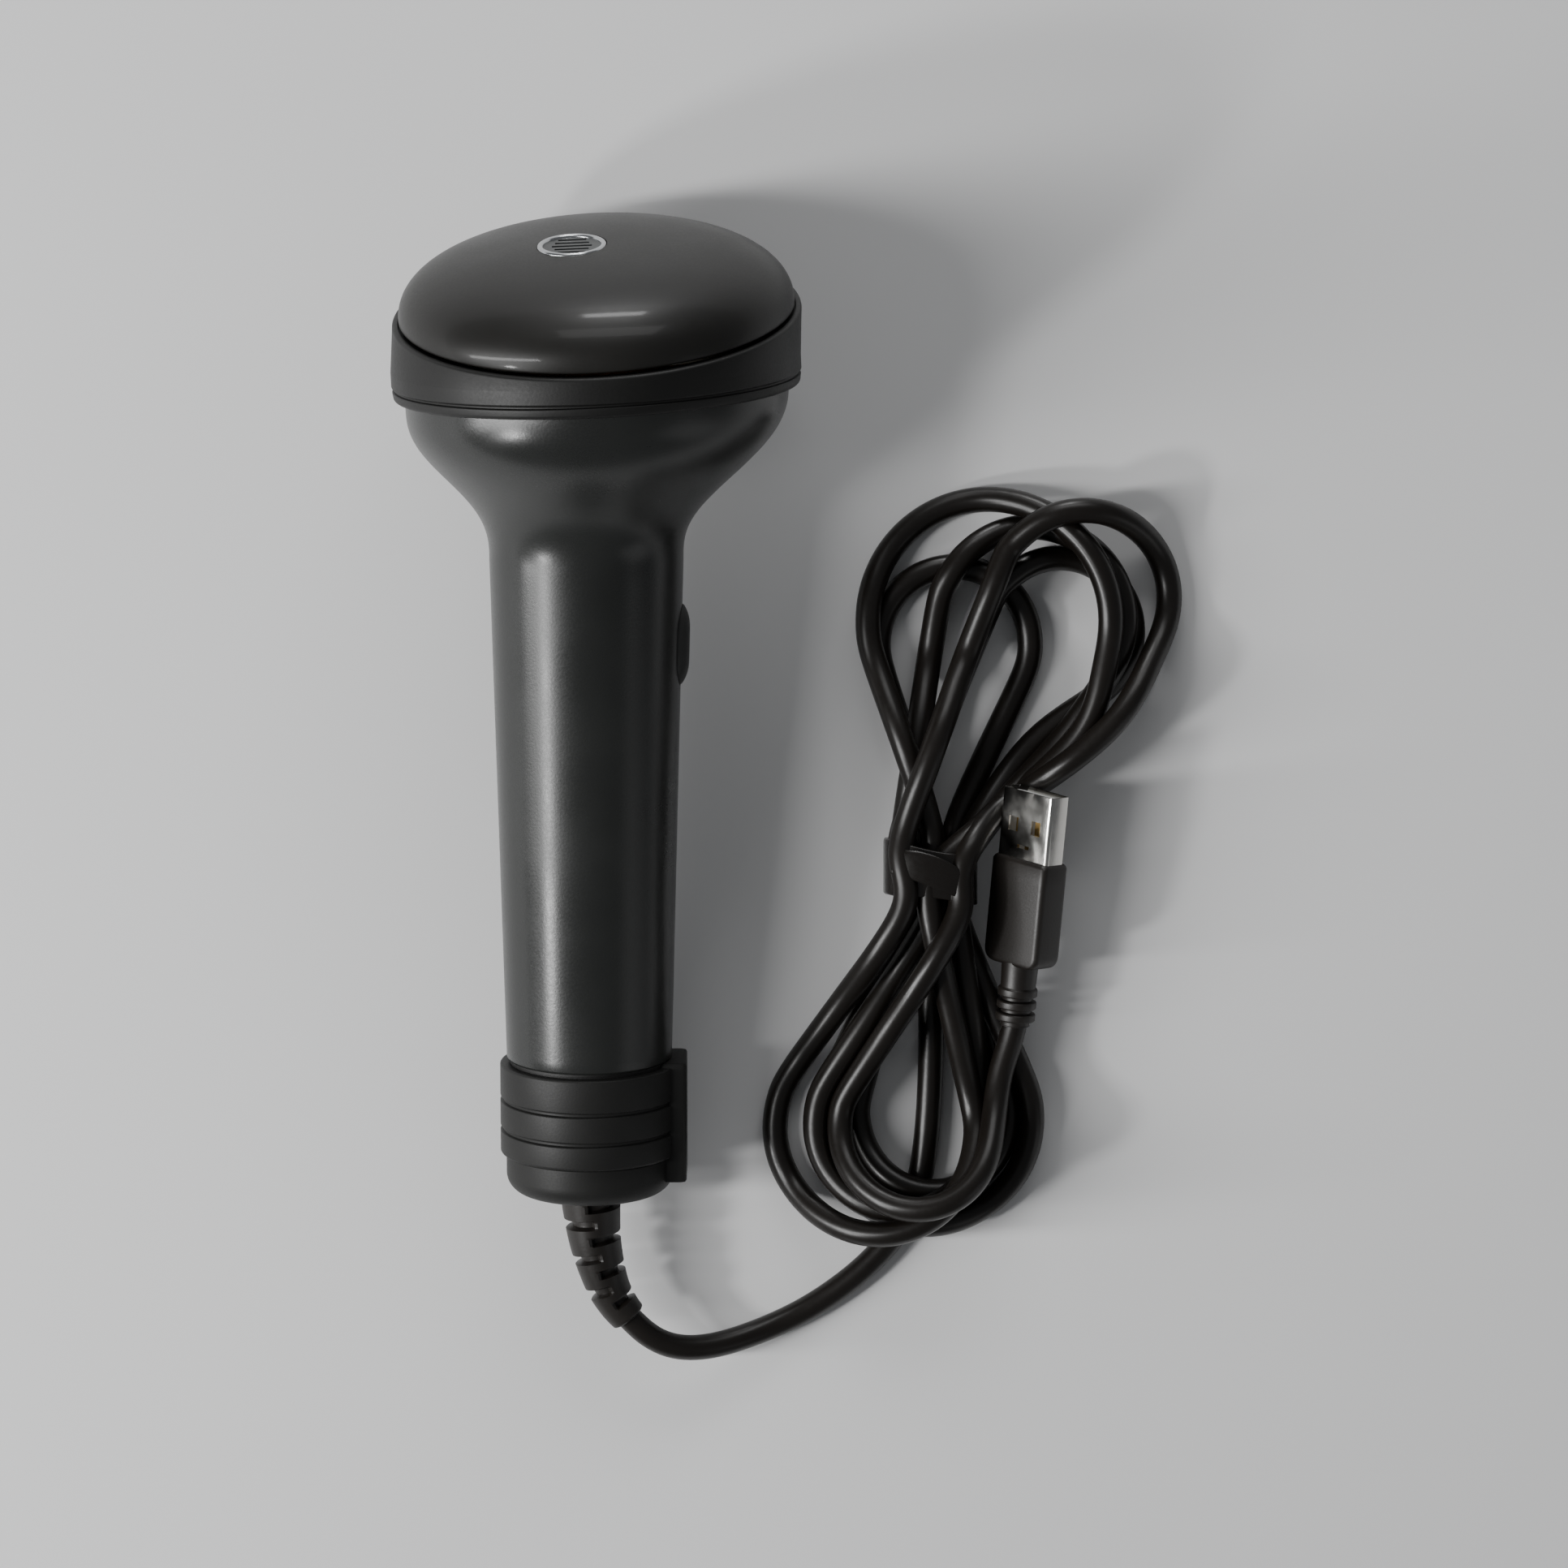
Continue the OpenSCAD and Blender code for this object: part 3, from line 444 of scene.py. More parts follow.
def casing_half(name, side):
    """Half of the casing: an outer and an inner arc, joined at the seam by small rounded edges, carried
    up the handle. Near the head the rings move towards the trigger side and lean with the rim."""
    s = sizes()
    edge, gap = 0.35, 0.04
    z = np.concatenate([[s.foot_z, s.foot_z + 0.08, s.foot_z + 0.25, s.foot_z + 0.5],
                        np.linspace(s.foot_z + 2, s.neck_z, 34),
                        np.linspace(s.neck_z + 1, s.band_z - 0.5, 34),
                        s.band_z + np.array([-0.2, 0, 0.05, 3])])
    r = casing_radius(z)
    r[:3] -= [0.4, 0.22, 0.07]
    r[-3:] = [s.bowl_r - 0.25, s.rim_r - 0.1, s.rim_r - 0.1]
    rim = np.array([0, 0.03, 0.08, 0.15, 0.25, edge])
    drop = edge - np.sqrt(edge ** 2 - (edge - rim) ** 2)
    arc = np.linspace(0, 1, 90)
    first = (rim[:-1][None] + gap) / r[:, None]
    mid = (edge + gap) / r[:, None] + arc[None] * (math.pi - 2 * (edge + gap) / r[:, None])
    a = np.concatenate([first, mid, math.pi - first[:, ::-1]], axis=1)
    cut = np.concatenate([drop[:-1], 0 * arc, drop[:-1][::-1]])
    outer = r[:, None] - cut[None]
    inner = r[:, None] - s.wall + 0 * a
    a = np.concatenate([a, a[:, ::-1]], axis=1) * side
    radius = np.concatenate([outer, inner[:, ::-1]], axis=1)
    x, y = radius * np.cos(a), radius * np.sin(a)
    t = np.clip((z - s.neck_z - 4) / (s.bowl_h - 5), 0, 1)[:, None]
    t = t * t * (3 - 2 * t)
    p = np.stack([x + s.head_shift * t, y, z[:, None] + x * t * math.tan(s.head_roll)], axis=-1)
    return add(name, grid_mesh(name, lay_down(p), ends=True))


def pill(l, w, inset, n=72):
    """Points (across, along) of a slot outline of length l and width w, moved inwards."""
    a = (np.arange(n) + 0.5) * TURN / n
    r = w / 2 - inset
    return r * np.cos(a), r * np.sin(a) + np.sign(np.sin(a)) * (l - w) / 2


def front_shell():
    """The half towards the viewer, with its half of the trigger's window."""
    return cut_window(casing_half("front_shell", -1))


def cut_window(obj):
    """Cuts the trigger's window with a small clearance all round."""
    s = sizes()
    y, z = pill(s.trigger_l, s.trigger_w, -0.25)
    p = np.stack([np.stack([x + 0 * y, y, z + s.trigger_z], axis=-1) for x in (s.neck_r - 6, s.neck_r + 6)])
    return combine(obj, add("window", grid_mesh("window", lay_down(p), ends=True)))


def rear_shell():
    """The half on the table side, with the recesses of its two screws."""
    obj = cut_window(casing_half("rear_shell", 1))
    for z in (44, 84):
        combine(obj, rod_tool("recess", lay_down, 2.1, 9, 20, z=z))
    return obj


GRILLE_AT = (-3.5, -2)
DOME_SQUARE = 0.82


def dome_shell():
    """The domed cover: its outline is (r cos^k a, h sin^k a), a little fuller than an ellipse. The rim
    is rounded, and there is a round hole for the grille."""
    s = sizes()
    a = np.radians(np.concatenate([np.arange(3, 88, 1.5), [89, 90]]))
    full = np.stack([np.abs(np.cos(a)) ** DOME_SQUARE, np.sin(a) ** DOME_SQUARE], axis=-1)
    full[-1, 0] = 0
    outer = full * [s.dome_r, s.dome_h]
    inner = (full * [s.dome_r - s.wall, s.dome_h - s.wall])[::-1]
    lip = rounded([(s.dome_r - 3, 0.25, 0), (s.dome_r - 0.02, 0.25, 0.45), (*outer[0], 0)], closed=False)
    outline = np.concatenate([lip[:-1], outer, inner])
    obj = add("dome_shell", grid_mesh("dome_shell", at_dome_m(revolved(outline, 256)), wrap_rows=True))
    hole = revolved(np.array([[s.ring_r, 7.0], [s.ring_r, 15.0]]), 96) + [*GRILLE_AT, 0]
    return combine(obj, add("hole", grid_mesh("hole", at_dome_m(hole), ends=True)))


def at_dome_m(p):
    """From the dome's frame to metres in the resting place."""
    return lay_down(at_dome(p))


def bright_ring():
    """The ring around the grille, a rounded bead let into the dome."""
    s = sizes()
    z = s.dome_h - s.wall
    outline = rounded([(s.ring_r - 0.06, z, 0.1), (s.ring_r - 0.06, z + 2.35, 0.5),
                       (s.ring_r - 1.1, z + 2.35, 0.5), (s.ring_r - 1.1, z, 0.1)])
    p = revolved(outline, 128) + [*GRILLE_AT, 0]
    return add("bright_ring", grid_mesh("bright_ring", at_dome_m(p), wrap_rows=True))


def bumper():
    """The rubber band: a ring whose outline has a foot lip, a shallow groove and a rounded top. It is
    drawn at a nominal height, then its top moves to the dome's rim plane, which is at
    middle + r sin a tan(tilt)."""
    s = sizes()
    nominal = 10
    outline = rounded([
        (s.rim_r, 0, 0.1), (s.band_r - 0.35, 0, 0.8), (s.band_r - 0.1, 1.7, 0.2),
        (s.band_r - 0.55, 1.85, 0.1), (s.band_r - 0.5, 2.2, 0.1), (s.band_r, 2.4, 0.3),
        (s.band_r, 4.9, 0.5), (s.band_r - 0.12, nominal, 1.5), (s.dome_r + 0.1, nominal, 0.1),
        (s.dome_r, nominal - 0.4, 0.1), (s.rim_r, nominal - 0.4, 0.1)], steps=5)
    p = revolved(outline, 288)
    shift = s.band_h * math.sin(s.head_roll)
    top = s.band_h * math.cos(s.head_roll) + p[..., 1] * math.tan(s.dome_tilt)
    raised = outline[:, 1:] > nominal / 2
    p[..., 2] += np.where(raised, top - nominal, 0)
    p[..., 0] += np.where(raised, shift, 0)
    return add("bumper", grid_mesh("bumper", lay_down(at_head(p)), wrap_rows=True))


def lug_block(grow=0.0):
    """The flat lug beside the collar, with bevelled edges."""
    s = sizes()
    y0 = s.lug_w / 2 + grow
    x0, x1 = s.cap_r - 2, s.cap_r + s.lug_t + grow
    z0, z1 = 2.6 - grow, 24.0 + grow
    outline = rounded([(-y0, x0, 0.1), (y0, x0, 0.1), (y0, x1, 0.8), (-y0, x1, 0.8)], steps=4)
    rows = []
    for z, inset in ((z0, 0.5), (z0 + 0.15, 0.15), (z0 + 0.5, 0),
                     (z1 - 0.5, 0), (z1 - 0.15, 0.15), (z1, 0.5)):
        shrink = 1 - inset / y0
        rows.append(np.stack([outline[:, 1] - inset * (outline[:, 1] > x0 + 1), outline[:, 0] * shrink,
                              z + 0 * outline[:, 0]], axis=-1))
    return add("lug", grid_mesh("lug", lay_down(np.stack(rows)), ends=True))


def collar_ring():
    """The grooved collar around the foot, with a notch for the lug."""
    s = sizes()
    r, inner = s.collar_r, s.spigot_r
    outline = rounded([(inner, 7.1, 0.1), (r, 7.1, 0.5), (r, 11.2, 0.2), (r - 0.55, 11.4, 0.15),
                       (r - 0.55, 11.9, 0.15), (r, 12.1, 0.2), (r, 16.5, 0.2), (r - 0.55, 16.7, 0.15),
                       (r - 0.55, 17.2, 0.15), (r, 17.4, 0.2), (r, 23.2, 0.45), (inner, 23.2, 0.1)], steps=4)
    obj = add("collar_ring", grid_mesh("collar_ring", lay_down(revolved(outline)), wrap_rows=True))
    return combine(obj, lug_block(0.08))


def end_cap():
    """The rounded end cap, joined with its lug."""
    s = sizes()
    hole_r = 4.2
    outline = rounded([(hole_r, 0, 0.3), (s.cap_r, 0, CAP_ROUND), (s.cap_r, s.cap_h, 0.35),
                       (hole_r, s.cap_h, 0.1)], steps=10)
    obj = add("end_cap", grid_mesh("end_cap", lay_down(revolved(outline)), wrap_rows=True))
    return combine(obj, lug_block(), "UNION")


def trigger():
    """The trigger: a slot-shaped pad that rises from the handle as a quarter ellipse, then stays arched."""
    s = sizes()
    rows = []
    for inset, rise in ((0, -3), (0, -0.4), (0, 0), (0.08, 0.16), (0.3, 0.36), (0.7, 0.6), (1.3, 0.88),
                        (2, 1.12), (2.8, 1.3), (3.6, 1.38), (s.trigger_w / 2 - 0.02, 1.4)):
        y, z = pill(s.trigger_l, s.trigger_w, inset)
        r = casing_radius(z + s.trigger_z) + rise * s.trigger_rise / 1.4
        rows.append(np.stack([np.sqrt(r ** 2 - y ** 2), y, z + s.trigger_z], axis=-1))
    return add("trigger", grid_mesh("trigger", lay_down(np.stack(rows)), ends=True))


def boot_shape():
    """The bent strain relief: a tapering tube with half-round slots on alternate sides."""
    s = sizes()
    start = np.array([-s.head_shift, -s.mid_y, s.rest_h])
    route = [start, (-1.7, -88.5, 13.7), (-1.2, -93, 13.1), (-0.2, -97.5, 12.5), (1.1, -101.5, 11.9),
             (2.8, -104.6, 11.4), BOOT_END]
    path = spline(route, 0.2)
    run = np.linspace(0, 1, len(path))[:, None]
    a = (np.arange(64) * TURN / 64)[None]
    thick, thin, slots, slot_depth = 5.4, 3.2, 7, 1.3
    r = thick + (thin - thick) * run + 0 * a
    for k in range(slots):
        at, half = 0.10 + 0.125 * k, 0.027
        across = np.clip((half - np.abs(run - at)) / 0.008 + 0.5, 0, 1)
        side = np.cos(a) * (1 if k % 2 else -1)
        r -= slot_depth * across * np.clip(side / 0.1 + 1.2, 0, 1)
    r *= np.where(run > 0.985, 1 - 0.12 * ((run - 0.985) / 0.015) ** 2, 1)
    end = path[-1:] + (path[-1:] - path[-2:-1])
    path, r = np.concatenate([path, end]), np.concatenate([r, 0 * r[-1:] + 2.3])
    return add("strain_relief", grid_mesh("strain_relief", swept(path, r) * MM, ends=True))


def tie_band():
    """The strap: a rounded flat band led round the waist of the hank, and leaning across it."""
    s = sizes()
    loop = rounded([(50.0, 0.62, 3.4), (65.6, 0.62, 3.4), (65.2, 16.6, 5.0), (50.2, 16.9, 5.0)], steps=10)
    loop = spline(np.concatenate([loop, loop[:1]]), 0.8)[:-1]
    ahead = np.roll(loop, -1, 0) - np.roll(loop, 1, 0)
    out = np.stack([ahead[:, 1], -ahead[:, 0]], axis=-1) / np.linalg.norm(ahead, axis=1, keepdims=True)
    half = s.tie_w / 2
    section = rounded_box_loop(2 * 0.55, 2 * half, 0.4, steps=4)
    x = loop[:, :1] + out[:, :1] * section[:, 0]
    z = loop[:, 1:] + out[:, 1:] * section[:, 0]
    wave = 0.35 * np.sin((loop[:, :1] - 50) / 3.1 + section[:, 1] / 3) * (np.abs(section[:, 1]) / half)
    y = WAIST_Y - (x - 57.7) * 0.14 * np.clip(z / 8, 0, 1) + section[:, 1] + wave
    return add("tie_band", grid_mesh("tie_band", np.stack([x, y, z], axis=-1) * MM, wrap_rows=True))


def clasp_shape():
    """The strap's free end, folded over the waist: a narrow plate that arches up and curls down."""
    u = np.linspace(-1, 1, 41)
    x = 57.4 + 6.2 * u
    z = 17.0 + 1.4 * (1 - u ** 2) ** 0.7
    y = WAIST_Y + 2.2 - 4.6 * (u + 1) / 2 * (0.6 + 0.4 * u)
    half, thick = 2.5 - 0.5 * u ** 2, 0.45
    section = rounded_box_loop(2, 2, 0.3, steps=4)
    p = np.stack([x[:, None] + 0.35 * half[:, None] * section[:, 0],
                  y[:, None] + half[:, None] * section[:, 0],
                  z[:, None] + thick * section[:, 1] - 0.25 * section[:, 0] ** 2], axis=-1)
    return add("clasp", grid_mesh("clasp", p * MM, ends=True))


def rounded_box_loop(w, t, r, steps=6):
    """A rounded rectangle (across, up), with rounded corners."""
    return rounded([(-w / 2, -t / 2, r), (w / 2, -t / 2, r), (w / 2, t / 2, r), (-w / 2, t / 2, r)],
                   steps=steps)


def usb_shell():
    """The plug's folded metal sleeve, with two square windows through both faces and a slot."""
    w, t, long, wall = 12, 4.5, 12, 0.3
    outer, inner = rounded_box_loop(w, t, 0.7), rounded_box_loop(w - 2 * wall, t - 2 * wall, 0.45)
    rows = [(outer, 0), (outer, long - 0.15), (outer * 0.994, long),
            (inner * 1.008, long), (inner, long - 0.15), (inner, 0)]
    p = np.stack([np.stack([q[:, 0], y + 0 * q[:, 0], q[:, 1]], axis=-1) for q, y in rows])
    obj = add("usb_sleeve", grid_mesh("usb_sleeve", at_plug(p), wrap_rows=True))
    for x in (-2.7, 2.7):
        combine(obj, box_tool("hole", at_plug, (x - 1.1, 4.7, -4), (x + 1.1, 7.2, 4)))
    combine(obj, box_tool("slot", at_plug, (-1.4, 1.9, 1.95), (1.4, 2.5, 4)))
    return obj


def overmould():
    """The plug's moulded grip: a rounded block whose rear corners are round in plan."""
    s = sizes()
    corner, edge = 2.4, 0.7
    back = np.linspace(0, 1, 9)[:-1]
    rows = []
    y = np.concatenate([-s.mould_l + corner * (1 - np.cos(back * math.pi / 2)),
                        np.linspace(-s.mould_l + corner, -edge, 6), [-0.25, -0.08, 0]])
    for v in y:
        k = max(0, 1 - (v + s.mould_l) / corner)
        w = s.mould_w - 2 * corner * (1 - math.sqrt(max(0, 1 - k * k)))
        b = max(0, 1 - (v + s.mould_l) / edge)
        f = max(0, 1 + v / edge)
        t = s.mould_t - 2 * edge * (1 - math.sqrt(max(0, 1 - b * b))) - 2 * edge * 0.7 * f * f
        w -= 2 * edge * 0.7 * f * f
        q = rounded_box_loop(w, t, min(1.1, t / 2.2, w / 2.2))
        rows.append(np.stack([q[:, 0], v + 0 * q[:, 0], q[:, 1]], axis=-1))
    return add("grip", grid_mesh("grip", at_plug(np.stack(rows)), ends=True))


def plug_relief():
    """The ribbed strain relief behind the grip."""
    s = sizes()
    outline = [(0, s.mould_l - 0.6, 0), (3.3, s.mould_l - 0.6, 0), (3.1, s.mould_l + 4, 0.1)]
    for k in range(3):
        y = s.mould_l + 4.3 + 2.2 * k
        outline += [(3.5, y, 0.3), (3.5, y + 1.3, 0.3), (2.6, y + 1.45, 0.1), (2.6, y + 2.05, 0.1)]
    outline += [(2.7, s.mould_l + 11, 0.2), (0, s.mould_l + 11, 0)]
    p = revolved(rounded(outline, closed=False, steps=4), 96)
    p = np.stack([p[..., 0], -p[..., 2], p[..., 1]], axis=-1)
    return add("plug_relief", grid_mesh("plug_relief", at_plug(p)))


def cord_curve():
    """The cord's middle line as one open curve with a round section."""
    s = sizes()
    p = cord_lay() * MM
    curve = bpy.data.curves.new("cord", "CURVE")
    curve.dimensions = "3D"
    line = curve.splines.new("POLY")
    line.points.add(len(p) - 1)
    line.points.foreach_set("co", np.concatenate([p, np.ones((len(p), 1))], axis=1).ravel())
    curve.bevel_depth = s.cord_d / 2 * MM
    curve.bevel_resolution = 6
    curve.use_fill_caps = True
    line.use_smooth = True
    run = float(np.linalg.norm(np.diff(p, axis=0), axis=1).sum())
    return add("cord", curve), run


# ---------------------------------------------------------------- finishes

class Value:
    """A shader value that builds maths nodes through plain operators."""

    def __init__(self, tree, socket):
        self.tree, self.socket = tree, socket

    def maths(self, kind, *others):
        """One maths node fed by this value and by others, which are values or plain numbers."""
        node = self.tree.nodes.new("ShaderNodeMath")
        node.operation = kind
        for slot, other in zip(node.inputs, (self, *others)):
            plug(self.tree, other, slot)
        return Value(self.tree, node.outputs[0])

    def __add__(self, other):
        return self.maths("ADD", other)

    def __mul__(self, other):
        return self.maths("MULTIPLY", other)


def plug(tree, source, socket):
    """Feeds a socket from a value, a socket or a constant."""
    if isinstance(source, Value):
        source = source.socket
    if isinstance(source, bpy.types.NodeSocket):
        tree.links.new(source, socket)
    else:
        socket.default_value = source


class Finish:
    """A procedural material around one Principled shader."""

    def __init__(self, name, tint, rough, **constants):
        self.material = bpy.data.materials.new("fine_" + name)
        self.material.use_nodes = True
        self.tree = self.material.node_tree
        self.tree.nodes.clear()
        self.shader = self.node("ShaderNodeBsdfPrincipled")
        out = self.node("ShaderNodeOutputMaterial")
        self.tree.links.new(self.shader.outputs[0], out.inputs["Surface"])
        self.place = self.node("ShaderNodeTexCoord").outputs["Object"]
        self.put("Base Color", (*tint, 1))
        self.put("Roughness", rough)
        for key, value in constants.items():
            self.put(key.replace("_", " "), value)

    def node(self, kind, **settings):
        """A node with settings; keys with a capital letter are its inputs."""
        made = self.tree.nodes.new(kind)
        for key, value in settings.items():
            if key[0].isupper():
                plug(self.tree, value, made.inputs[key])
            else:
                setattr(made, key, value)
        return made

    def put(self, name, value):
        """Sets or feeds one of the shader's own inputs."""
        plug(self.tree, value, self.shader.inputs[name])

    def noise(self, scale, detail):
        """Cloudy noise from 0 to 1; the scale is in cells per metre."""
        made = self.node(
            "ShaderNodeTexNoise", Vector=self.place, Scale=scale, Detail=detail, Roughness=0.5)
        return Value(self.tree, made.outputs["Fac"])

    def cells(self, scale):
        """Distance to the nearest cell centre."""
        made = self.node("ShaderNodeTexVoronoi", Vector=self.place, Scale=scale)
        return Value(self.tree, made.outputs["Distance"])

    def ramp(self, value, low, high, start=0.0, end=1.0):
        """A value mapped from one range to another, held at the ends."""
        made = self.node("ShaderNodeMapRange", Value=value)
        for key, number in zip(("From Min", "From Max", "To Min", "To Max"), (low, high, start, end)):
            made.inputs[key].default_value = number
        return Value(self.tree, made.outputs[0])

    def shade(self, dark, light, factor):
        """The base colour, mixed between two colours."""
        mix = self.node("ShaderNodeMix", data_type="RGBA")
        plug(self.tree, factor, mix.inputs[0])
        mix.inputs[6].default_value, mix.inputs[7].default_value = (*dark, 1), (*light, 1)
        self.put("Base Color", mix.outputs[2])

    def bump(self, height, depth_mm):
        """Surface relief from a height from 0 to 1, its depth in millimetres."""
        made = self.node("ShaderNodeBump", Height=height, Distance=depth_mm * MM, Strength=1.0)
        self.put("Normal", made.outputs[0])


def scaled(tint, factor):
    """A colour made lighter or darker."""
    return tuple(min(1.0, c * factor) for c in tint)


def moulded(name, tint, rough, grain=0.02, scale=2600, **constants):
    """Moulded plastic or rubber: fine grain, and slow changes of gloss and shade."""
    made = Finish(name, tint, rough, **constants)
    slow, fine = made.noise(55, 3), made.noise(scale, 2)
    made.shade(scaled(tint, 0.9), scaled(tint, 1.1), made.ramp(slow, 0.35, 0.65))
    made.put("Roughness", made.ramp(slow * 0.6 + fine * 0.4, 0.35, 0.65, rough - 0.04, rough + 0.05))
    made.bump(fine, grain)
    return made.material


def brushed(name, tint, rough):
    """Plated metal with a slight unevenness."""
    made = Finish(name, tint, rough, Metallic=1.0)
    slow, fine = made.noise(240, 3), made.noise(3500, 2)
    made.put("Roughness", made.ramp(slow, 0.3, 0.7, rough - 0.05, rough + 0.08))
    made.bump(fine, 0.004)
    return made.material


def board_green(name):
    """Solder mask with faint tracks under it."""
    made = Finish(name, (0.01, 0.09, 0.035), 0.35, Coat_Weight=0.4)
    made.shade((0.008, 0.07, 0.028), (0.015, 0.13, 0.05), made.ramp(made.cells(600), 0.2, 0.25))
    return made.material


def make_finishes():
    """Makes every finish; each is named after its slot, with fine_ before it."""
    c = bpy.context.scene.scanner_colours
    moulded("housing", c.housing, 0.3, 0.012, 2400)
    moulded("dome", c.dome, 0.42, 0.006, 2400, Specular_IOR_Level=0.25, Coat_Weight=0.1, Coat_Roughness=0.1)
    moulded("band_rubber", c.band, 0.5, 0.015, 2000, Specular_IOR_Level=0.35)
    moulded("collar", c.collar, 0.5, 0.012, Specular_IOR_Level=0.25)
    moulded("cap", c.collar, 0.5, 0.012, Specular_IOR_Level=0.25)
    moulded("button", c.button, 0.5, 0.015)
    moulded("seal_rubber", scaled(c.band, 0.8), 0.6)
    brushed("screw_steel", (0.5, 0.5, 0.5), 0.3)
    brushed("bright_ring", (0.55, 0.56, 0.57), 0.2)
    moulded("grille", c.grille, 0.42, 0.006)
    moulded("black_part", (0.012, 0.012, 0.013), 0.4)
    moulded("ivory_part", (0.62, 0.58, 0.48), 0.45)
    brushed("copper_wire", (0.72, 0.3, 0.14), 0.3)
    moulded("lead_wire", (0.25, 0.02, 0.015), 0.4)
    board_green("board")
    moulded("capacitor", (0.3, 0.2, 0.12), 0.4)
    moulded("cord_jacket", c.cord, 0.34, 0.006, 1200, Specular_IOR_Level=0.4)
    moulded("boot_rubber", scaled(c.cord, 1.25), 0.42, 0.012)
    moulded("tie_strap", scaled(c.cord, 0.9), 0.26, 0.008, 1200)
    brushed("plug_metal", c.metal, 0.16)
    moulded("plug_tongue", (0.75, 0.75, 0.73), 0.4)
    brushed("contact_gold", (0.95, 0.68, 0.3), 0.2)
    moulded("plug_mould", scaled(c.cord, 1.35), 0.44, 0.012)


# ---------------------------------------------------------------- steps

class SCANNER_OT_camera(bpy.types.Operator):
    """Places the camera above the scanner"""
    bl_idname = "scanner.camera"
    bl_label = "Camera"

    def execute(self, context):
        data = bpy.data.cameras.new("camera")
        data.lens, data.sensor_width = 149.2, 36
        data.clip_end = 10
        obj = add("camera", data)
        obj.location = (0.03197, 0.04657, 1.1484)
        obj.rotation_euler = (math.radians(-3), 0, 0)
        context.scene.camera = obj
        return {"FINISHED"}


class SCANNER_OT_finishes(bpy.types.Operator):
    """Makes the finishes and gives them to the parts that stay as they are"""
    bl_idname = "scanner.finishes"
    bl_label = "Finishes"

    def execute(self, context):
        make_finishes()
        for part in frame["record"]["subparts"]:
            obj, slot = frame["nodes"][part["node"]], part["material_slot"]
            obj.data.materials.clear()
            obj.data.materials.append(bpy.data.materials["fine_" + slot])
        return {"FINISHED"}


class SCANNER_OT_cord(bpy.types.Operator):
    """Winds the cord: the free stretch, the hank and the run up to the plug"""
    bl_idname = "scanner.cord"
    bl_label = "Cord"

    def execute(self, context):
        obj, run = cord_curve()
        finish_piece(obj, "cord_jacket", "cord_lead", "cord_hank")
        relief = finish_piece(boot_shape(), "boot_rubber", "cord_boot")
        tie = finish_piece(tie_band(), "tie_strap", "cord_tie")
        clasp = finish_piece(clasp_shape(), "tie_strap", "tie_clasp")
        sleeve = finish_piece(usb_shell(), "plug_metal", "usb_shell")
        grip = finish_piece(overmould(), "plug_mould", "usb_overmold")
        tail = finish_piece(plug_relief(), "plug_mould", "plug_boot")
        sizes().cord_d * MM
        return {"FINISHED"}


class SCANNER_OT_casing(bpy.types.Operator):
    """Builds the two halves of the handle and bowl"""
    bl_idname = "scanner.casing"
    bl_label = "Casing"

    def execute(self, context):
        finish_piece(front_shell(), "housing", "front_housing")
        finish_piece(rear_shell(), "housing", "rear_housing")
        return {"FINISHED"}


class SCANNER_OT_head(bpy.types.Operator):
    """Builds the dome, the bumper band and the bright ring"""
    bl_idname = "scanner.head"
    bl_label = "Head"

    def execute(self, context):
        finish_piece(dome_shell(), "dome", "dome_cover")
        finish_piece(bumper(), "band_rubber", "bumper_band")
        finish_piece(bright_ring(), "bright_ring", "grille_ring")
        return {"FINISHED"}


class SCANNER_OT_foot(bpy.types.Operator):
    """Builds the grooved collar and the end cap with its lug"""
    bl_idname = "scanner.foot"
    bl_label = "Foot"

    def execute(self, context):
        finish_piece(collar_ring(), "collar", "end_collar")
        finish_piece(end_cap(), "cap", "end_cap")
        return {"FINISHED"}


class SCANNER_OT_trigger(bpy.types.Operator):
    """Builds the trigger, which slides into the handle"""
    bl_idname = "scanner.trigger"
    bl_label = "Trigger"

    def execute(self, context):
        finish_piece(trigger(), "button", "trigger_button", body="trigger")
        return {"FINISHED"}


def area_light(name, place, target, w, h, power):
    """A rectangular light that faces a target."""
    data = bpy.data.lights.new(name, "AREA")
    data.shape, data.size, data.size_y, data.energy = "RECTANGLE", w, h, power
    obj = add(name, data)
    obj.location = place
    aim = Vector(target) - Vector(place)
    obj.rotation_euler = aim.to_track_quat("-Z", "Y").to_euler()
    return obj


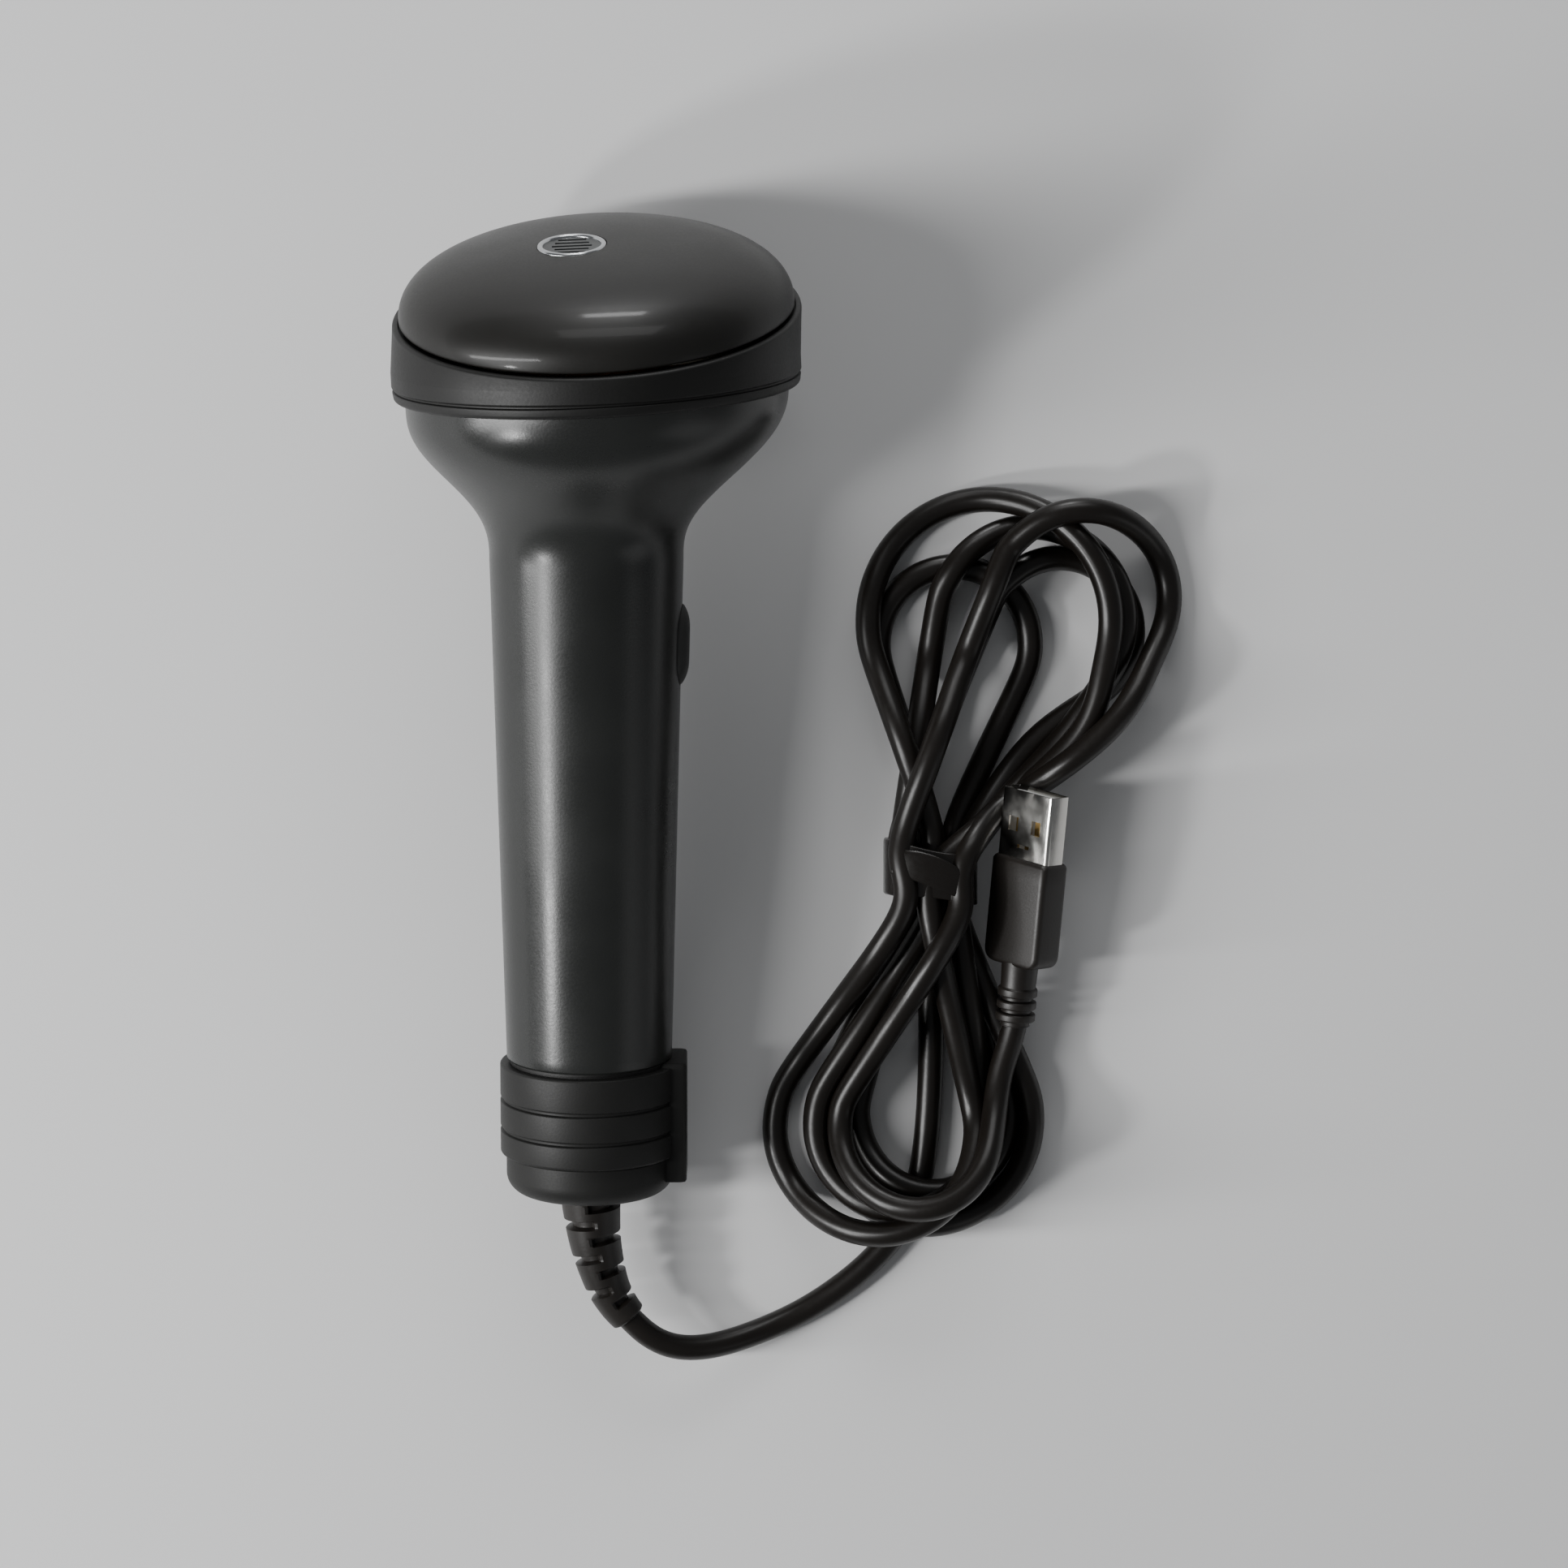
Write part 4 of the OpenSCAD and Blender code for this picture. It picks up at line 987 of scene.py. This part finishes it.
class SCANNER_OT_stage(bpy.types.Operator):
    """Adds the plain floor and the soft lights"""
    bl_idname = "scanner.stage"
    bl_label = "Stage"

    def execute(self, context):
        half = 4.0
        mesh = bpy.data.meshes.new("floor")
        mesh.from_pydata([(-half, -half, 0), (half, -half, 0), (half, half, 0), (-half, half, 0)], [],
                         [(0, 1, 2, 3)])
        floor = add("floor", mesh)
        made = Finish("floor", (0.8, 0.8, 0.8), 0.9)
        mesh.materials.append(made.material)
        made.put("Specular IOR Level", 0.1)
        lights = (
            area_light("sky_panel", (0.1, 1.5, 0.95), (0.03, 0, 0), 1.2, 0.5, 7),
            area_light("low_window", (0.02, 0.80, 0.10), (0, 0.08, 0.04), 0.2, 0.06, 1.6),
            area_light("left_strip", (-0.92, -0.12, 0.70), (0, -0.02, 0.02), 0.10, 0.95, 13),
            area_light("left_spot", (-0.62, -0.30, 0.50), (-0.01, 0.04, 0.04), 0.08, 0.08, 2.6),
            area_light("right_fill", (1.2, -0.7, 0.5), (0.03, 0, 0.02), 0.6, 0.8, 0.8),
        )
        world = bpy.data.worlds.new("world")
        world.use_nodes = True
        tint, strength = world.node_tree.nodes["Background"].inputs[:2]
        tint.default_value, strength.default_value = (0.8, 0.82, 0.85, 1), 0.18
        context.scene.world = world
        return {"FINISHED"}


class SCANNER_PT_panel(bpy.types.Panel):
    """Sizes, colours and steps of the scanner"""
    bl_idname = "SCANNER_PT_panel"
    bl_label = "Microchip scanner"
    bl_space_type = "VIEW_3D"
    bl_region_type = "UI"
    bl_category = "Scanner"

    def draw(self, context):
        layout = self.layout
        for group in (context.scene.scanner_sizes, context.scene.scanner_colours):
            box = layout.box()
            for key in group.__annotations__:
                box.prop(group, key)
        for step in STEPS:
            layout.operator(step.bl_idname)


GROUPS = (ScannerSizes, ScannerColours)
STEPS = (SCANNER_OT_camera, SCANNER_OT_finishes, SCANNER_OT_cord, SCANNER_OT_casing, SCANNER_OT_head,
         SCANNER_OT_foot, SCANNER_OT_trigger, SCANNER_OT_stage)
CLASSES = (*GROUPS, *STEPS, SCANNER_PT_panel)


def register():
    """Registers the classes and the settings."""
    for made in CLASSES:
        bpy.utils.register_class(made)
    bpy.types.Scene.scanner_sizes = bpy.props.PointerProperty(type=ScannerSizes)
    bpy.types.Scene.scanner_colours = bpy.props.PointerProperty(type=ScannerColours)


def unregister():
    """Removes the settings and the classes."""
    del bpy.types.Scene.scanner_colours
    del bpy.types.Scene.scanner_sizes
    for made in reversed(CLASSES):
        bpy.utils.unregister_class(made)


def main():
    """Runs every step in order."""
    register()
    for step in STEPS:
        group, name = step.bl_idname.split(".")
        if getattr(getattr(bpy.ops, group), name)() != {"FINISHED"}:
            raise RuntimeError(f"{step.bl_label} was not finished")


if __name__ == "__main__":
    main()
